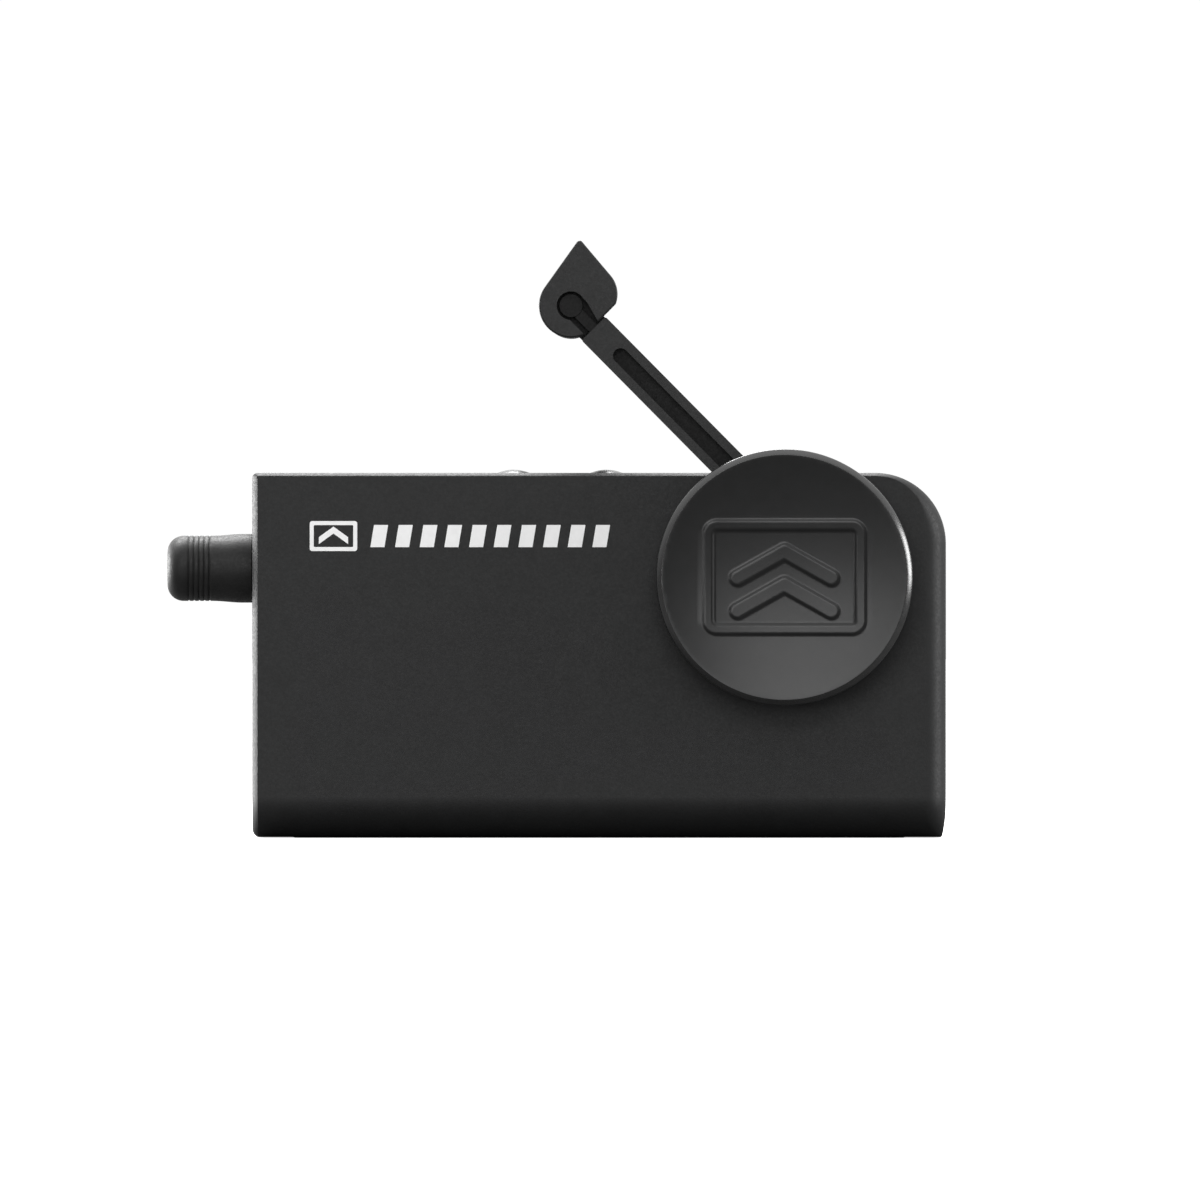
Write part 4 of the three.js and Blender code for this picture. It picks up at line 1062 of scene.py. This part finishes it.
def make_tip():
    """The lifting bar, with its keyhole recess and tab, and the rubber strip on its ridge."""
    bar = bar_form()
    strip = copy_of(bar)
    pad_low, _ = box_mm("tip_pad")
    beyond, hair = (BEYOND, BEYOND, BEYOND), 0.01
    cut(bar, block((-BEYOND, pad_low.y - hair, pad_low.z - hair), beyond))
    common(strip, block((-BEYOND, pad_low.y, pad_low.z), beyond))
    floor = TIP_LOW.y + KEY_DEPTH
    line = -OFFSET
    key_top, key_foot = line + 1.48, line - 1.9
    key = [
        (REACH, key_top),
        (REACH - 8, key_top),
        (REACH - 8, line),
        (REACH - 4.6, line - 1.0),
        (REACH - 1.2, key_foot),
        (REACH, key_foot),
    ]
    tab_low = (REACH - TAB_START, ARM_BACK + GAP, line - TAB_HALF)
    tab_high = (REACH - TAB_END, TAB_BACK, line + TAB_HALF)
    join(bar, lean_over(block(tab_low, tab_high)))
    cut(bar, lean_over(prism(key, "Y", TIP_LOW.y - 1, floor)))
    cut(bar, rod("Y", KEY_RADIUS, TIP_LOW.y - 1, floor, PIVOT.x, PIVOT.z))
    cut(bar, rod("Y", PIN_BORE, TIP_LOW.y, PIN_BORE_END, PIVOT.x, PIVOT.z, 32))
    settle(bar, "lifting_bar", "arm", "tip", "shell_plastic", "lift_tip")
    # Painted shade: the keyhole recess's floor gets a darker, duller finish
    polish(bar, "painted_shade", lambda middle: abs(middle.y - floor) < 0.02)
    settle(strip, "lifting_strip", "rubber", "tip", "soft_rubber", "tip_pad")


def make_tip_pin():
    """A plain pin with a domed front end, set back in the boss."""
    back = box_mm("tip_pin")[1].y
    front = ARM_FRONT + 0.85
    radius, rise, chamfer = 0.8, 0.25, 0.15
    profile = []
    for degrees in range(0, 81, 20):
        turn = math.radians(degrees)
        profile.append((radius * math.sin(turn), front + rise * (1 - math.cos(turn))))
    profile += [(radius, front + 0.35), (radius, back - 0.2), (radius - chamfer, back), (0, back)]
    pin = turned(profile, "Y", PIVOT.x, PIVOT.z, 32)
    settle(pin, "swivel_pin", "component", "arm", "steel", "tip_pin")


# ---- Knob and buttons ----
KNOB_LOW, KNOB_HIGH = box_mm("adjuster_knob")
KNOB_COLLAR = 1.2  # how far the plain collar reaches before the knob slims
KNOB_TAPER = 4.0
KNOB_CORNER = 2.2
KNOB_BORE, KNOB_BORE_END = 1.8, -56.3
KNOB_GRIP = 0.95  # the grip's share of the full radius
RING_COUNT = 5
RING_FIRST, RING_PITCH = -53.45, 0.71
RING_DEPTH, RING_HALF = 0.11, 0.18
BUTTON_RADIUS = 2.35
BUTTON_FLANGE = 3.4


def make_knob():
    """Moulded rubber knob: a plain collar, five ring grooves and a domed end."""
    base, end = KNOB_HIGH.x, KNOB_LOW.x
    radius = (KNOB_HIGH.z - KNOB_LOW.z) / 2
    grip = radius * KNOB_GRIP
    lip = LEFT - 0.06  # the collar reaches almost to the box
    chamfer = 0.12
    profile = [(0, base), (4.2, base), (4.3, lip)]
    profile += [(radius - chamfer, lip), (radius, lip - chamfer)]
    taper_steps, ring_steps = 8, 3
    for i in range(taper_steps + 1):
        t = i / taper_steps
        profile.append((radius + (grip - radius) * ease(t), base - KNOB_COLLAR - KNOB_TAPER * t))
    for i in range(RING_COUNT):
        middle = RING_FIRST - i * RING_PITCH
        for k in range(-ring_steps, ring_steps + 1):
            t = k / ring_steps
            lift = RING_DEPTH * (0.5 + 0.5 * math.cos(math.pi * t))
            profile.append((grip - lift, middle - RING_HALF * t))
    profile += arc(grip - KNOB_CORNER, end + KNOB_CORNER, KNOB_CORNER, 0, -90, 12)
    profile.append((0, end))
    knob = turned(profile, "X", KNOB_AXIS.y, KNOB_AXIS.z, 128)
    cut(knob, rod("X", KNOB_BORE, KNOB_BORE_END, base + 1, KNOB_AXIS.y, KNOB_AXIS.z, 32))
    settle(knob, "adjuster_grip", "grip", "knob", "soft_rubber", "adjuster_knob")


def make_button(node, body, name):
    """A flanged button whose crown is part of a sphere."""
    low, high = box_mm(node)
    centre = (low + high) / 2
    radius = BUTTON_RADIUS
    proud = high.z - TOP
    sphere = (radius**2 + proud**2) / (2 * proud)
    foot = radius * 0.97  # the crown starts just inside the button's side
    crown, steps = [], 8
    for i in range(steps):
        out = foot * (1 - i / steps)
        crown.append((out, high.z - sphere + math.sqrt(sphere**2 - out**2)))
    flange_top = low.z + 1
    profile = [
        (0, low.z),
        (BUTTON_FLANGE, low.z),
        (BUTTON_FLANGE, flange_top),
        (radius, flange_top),
        (radius, TOP - 0.08),
        *crown,
        (0, high.z),
    ]
    button = turned(profile, "Z", centre.x, centre.y, 64)
    settle(button, name, "satin", body, "satin_plastic", node)


# ---- White print on the front ----
PRINT_LEFT, PRINT_RIGHT = -39.6, 2.45
PRINT_BOTTOM, PRINT_TOP = 39.3, 43.4
INK, INK_ROOT = 0.03, 0.02  # how far the print stands out of the face and reaches into it
MARK_WIDTH, MARK_LINE = 6.5, 0.55
ARROW_HALF, ARROW_RISE = 2.0, 1.45
ARROW_FEET = (-1.1, -0.15)  # heights of the arrow's lower and upper edge at its ends
BAR_COUNT = 10
BAR_SPACE, BAR_GAP = 1.8, 0.95  # between the mark and the first bar, and between bars
BAR_SLANT, BAR_HALF = 0.5, 1.52


def ink(outline):
    """A thin layer of print on the front face, from its outline."""
    return prism(outline, "Y", FRONT - INK, FRONT + INK_ROOT)


def make_print():
    """A small framed arrow, then a row of slanted bars."""
    left, bottom, top = PRINT_LEFT, PRINT_BOTTOM, PRINT_TOP
    right, line = left + MARK_WIDTH, MARK_LINE
    mark = ink(rounded_rectangle(left, right, bottom, top, 0.35))
    hole = rounded_rectangle(left + line, right - line, bottom + line, top - line, 0.15)
    cut(mark, prism(hole, "Y", FRONT - 1, FRONT + 1))
    centre, middle = (left + right) / 2, (bottom + top) / 2
    lower, upper = (middle + foot for foot in ARROW_FEET)
    arrow = [
        (centre - ARROW_HALF, lower),
        (centre, lower + ARROW_RISE),
        (centre + ARROW_HALF, lower),
        (centre + ARROW_HALF, upper),
        (centre, upper + ARROW_RISE),
        (centre - ARROW_HALF, upper),
    ]
    join(mark, ink(arrow))
    start = right + BAR_SPACE
    pitch = (PRINT_RIGHT - start) / BAR_COUNT
    width = pitch - BAR_GAP - BAR_SLANT
    low, high = middle - BAR_HALF, middle + BAR_HALF
    for i in range(BAR_COUNT):
        foot = start + i * pitch
        head = foot + BAR_SLANT
        join(mark, ink([(foot, low), (foot + width, low), (head + width, high), (head, high)]))
    settle(mark, "front_print", "print", "housing", "white_plastic")


# ---- Make everything ----
make_front_case()
make_rear_case()
make_pads()
for number in range(1, len(CASE_SCREWS) + 1):
    make_case_screw(number)
make_socket()
make_cap()
make_arm()
make_tip()
make_tip_pin()
make_knob()
make_button("raise_button", "raise_key", "raise_dome")
make_button("lower_button", "lower_key", "lower_dome")
make_print()


# ---- Floor and light ----
LIGHT_TARGET = (0.0, 0.0, 0.04)
FLOOR_REACH = 9000
FLOOR_GLOW = 0.6  # keeps the floor pale to the eye
FLOOR_BOUNCE = 0.14  # how pale the floor is to the object's own reflections
BRIGHT_SIDE = (0.0, 0.45, 0.89)  # direction of the room's brightest part
ROOM_GLOW = (0.12, 1.7)  # strength of the room's light on its dark and its bright side


def seen_directly(tree, hidden, seen):
    """Gives the camera one shader and every other ray another."""
    path = add_node(tree, "ShaderNodeLightPath")
    choice = add_node(tree, "ShaderNodeMixShader")
    tree.links.new(path.outputs["Is Camera Ray"], choice.inputs["Fac"])
    tree.links.new(hidden, choice.inputs[1])
    tree.links.new(seen, choice.inputs[2])
    return choice.outputs["Shader"]


def make_floor():
    reach = FLOOR_REACH
    floor = block((-reach, -reach, -20), (reach, reach, 0), "floor")
    made, tree, shader = new_material("pale_floor")
    mottle = remap(tree, noise(tree, 6, 3.0), 0.0, 1.0)
    colour = blend_colours(tree, mottle, grey(0.84), grey(0.88))
    tree.links.new(colour, shader.inputs["Base Color"])
    shader.inputs["Roughness"].default_value = 0.8
    shader.inputs["Emission Color"].default_value = (1, 1, 1, 1)
    shader.inputs["Emission Strength"].default_value = FLOOR_GLOW
    dim = add_node(tree, "ShaderNodeBsdfDiffuse", {"Color": (*grey(FLOOR_BOUNCE), 1)})
    out = tree.nodes["Material Output"]
    mixed = seen_directly(tree, dim.outputs["BSDF"], shader.outputs["BSDF"])
    tree.links.new(mixed, out.inputs["Surface"])
    floor.data.materials.append(made)


def make_light(name, location, size, power):
    """A soft panel that faces the middle of the object, in metres and watts."""
    data = bpy.data.lights.new(name, "AREA")
    data.shape = "RECTANGLE"
    data.size, data.size_y = size
    data.energy = power
    lamp = bpy.data.objects.new(name, data)
    lamp.location = location
    aim = Vector(LIGHT_TARGET) - Vector(location)
    lamp.rotation_euler = aim.to_track_quat("-Z", "Y").to_euler()
    lamp.visible_camera = False
    bpy.context.scene.collection.objects.link(lamp)


def make_world():
    """White to the eye; as light, a room that is bright behind and above."""
    world = bpy.data.worlds.new("room")
    world.use_nodes = True
    tree = world.node_tree
    tree.nodes.clear()
    place = add_node(tree, "ShaderNodeTexCoord")
    aim = add_node(tree, "ShaderNodeVectorMath", operation="DOT_PRODUCT")
    aim.inputs[1].default_value = BRIGHT_SIDE
    tree.links.new(place.outputs["Generated"], aim.inputs[0])
    glow = remap(tree, aim.outputs["Value"], *ROOM_GLOW, -0.3, 0.7)
    room = add_node(tree, "ShaderNodeBackground", {"Color": (1, 1, 1, 1)})
    tree.links.new(glow, room.inputs["Strength"])
    white = add_node(tree, "ShaderNodeBackground", {"Color": (1, 1, 1, 1), "Strength": 1.02})
    mixed = seen_directly(tree, room.outputs["Background"], white.outputs["Background"])
    out = add_node(tree, "ShaderNodeOutputWorld")
    tree.links.new(mixed, out.inputs["Surface"])
    bpy.context.scene.world = world


make_floor()
make_world()
make_light("main", (-0.04, -0.95, 0.16), (0.5, 0.2), 1.1)
make_light("glow", (-0.05, -0.9, 0.42), (0.5, 0.22), 1.5)
make_light("low", (-0.5, -0.8, 0.04), (0.3, 0.06), 0.5)
make_light("right", (0.56, -0.13, 0.12), (0.16, 0.24), 2.1)
make_light("left", (-0.48, 0.28, 0.05), (0.3, 0.16), 4.8)
make_light("above", (-0.12, 0.28, 0.47), (0.4, 0.16), 4.6)
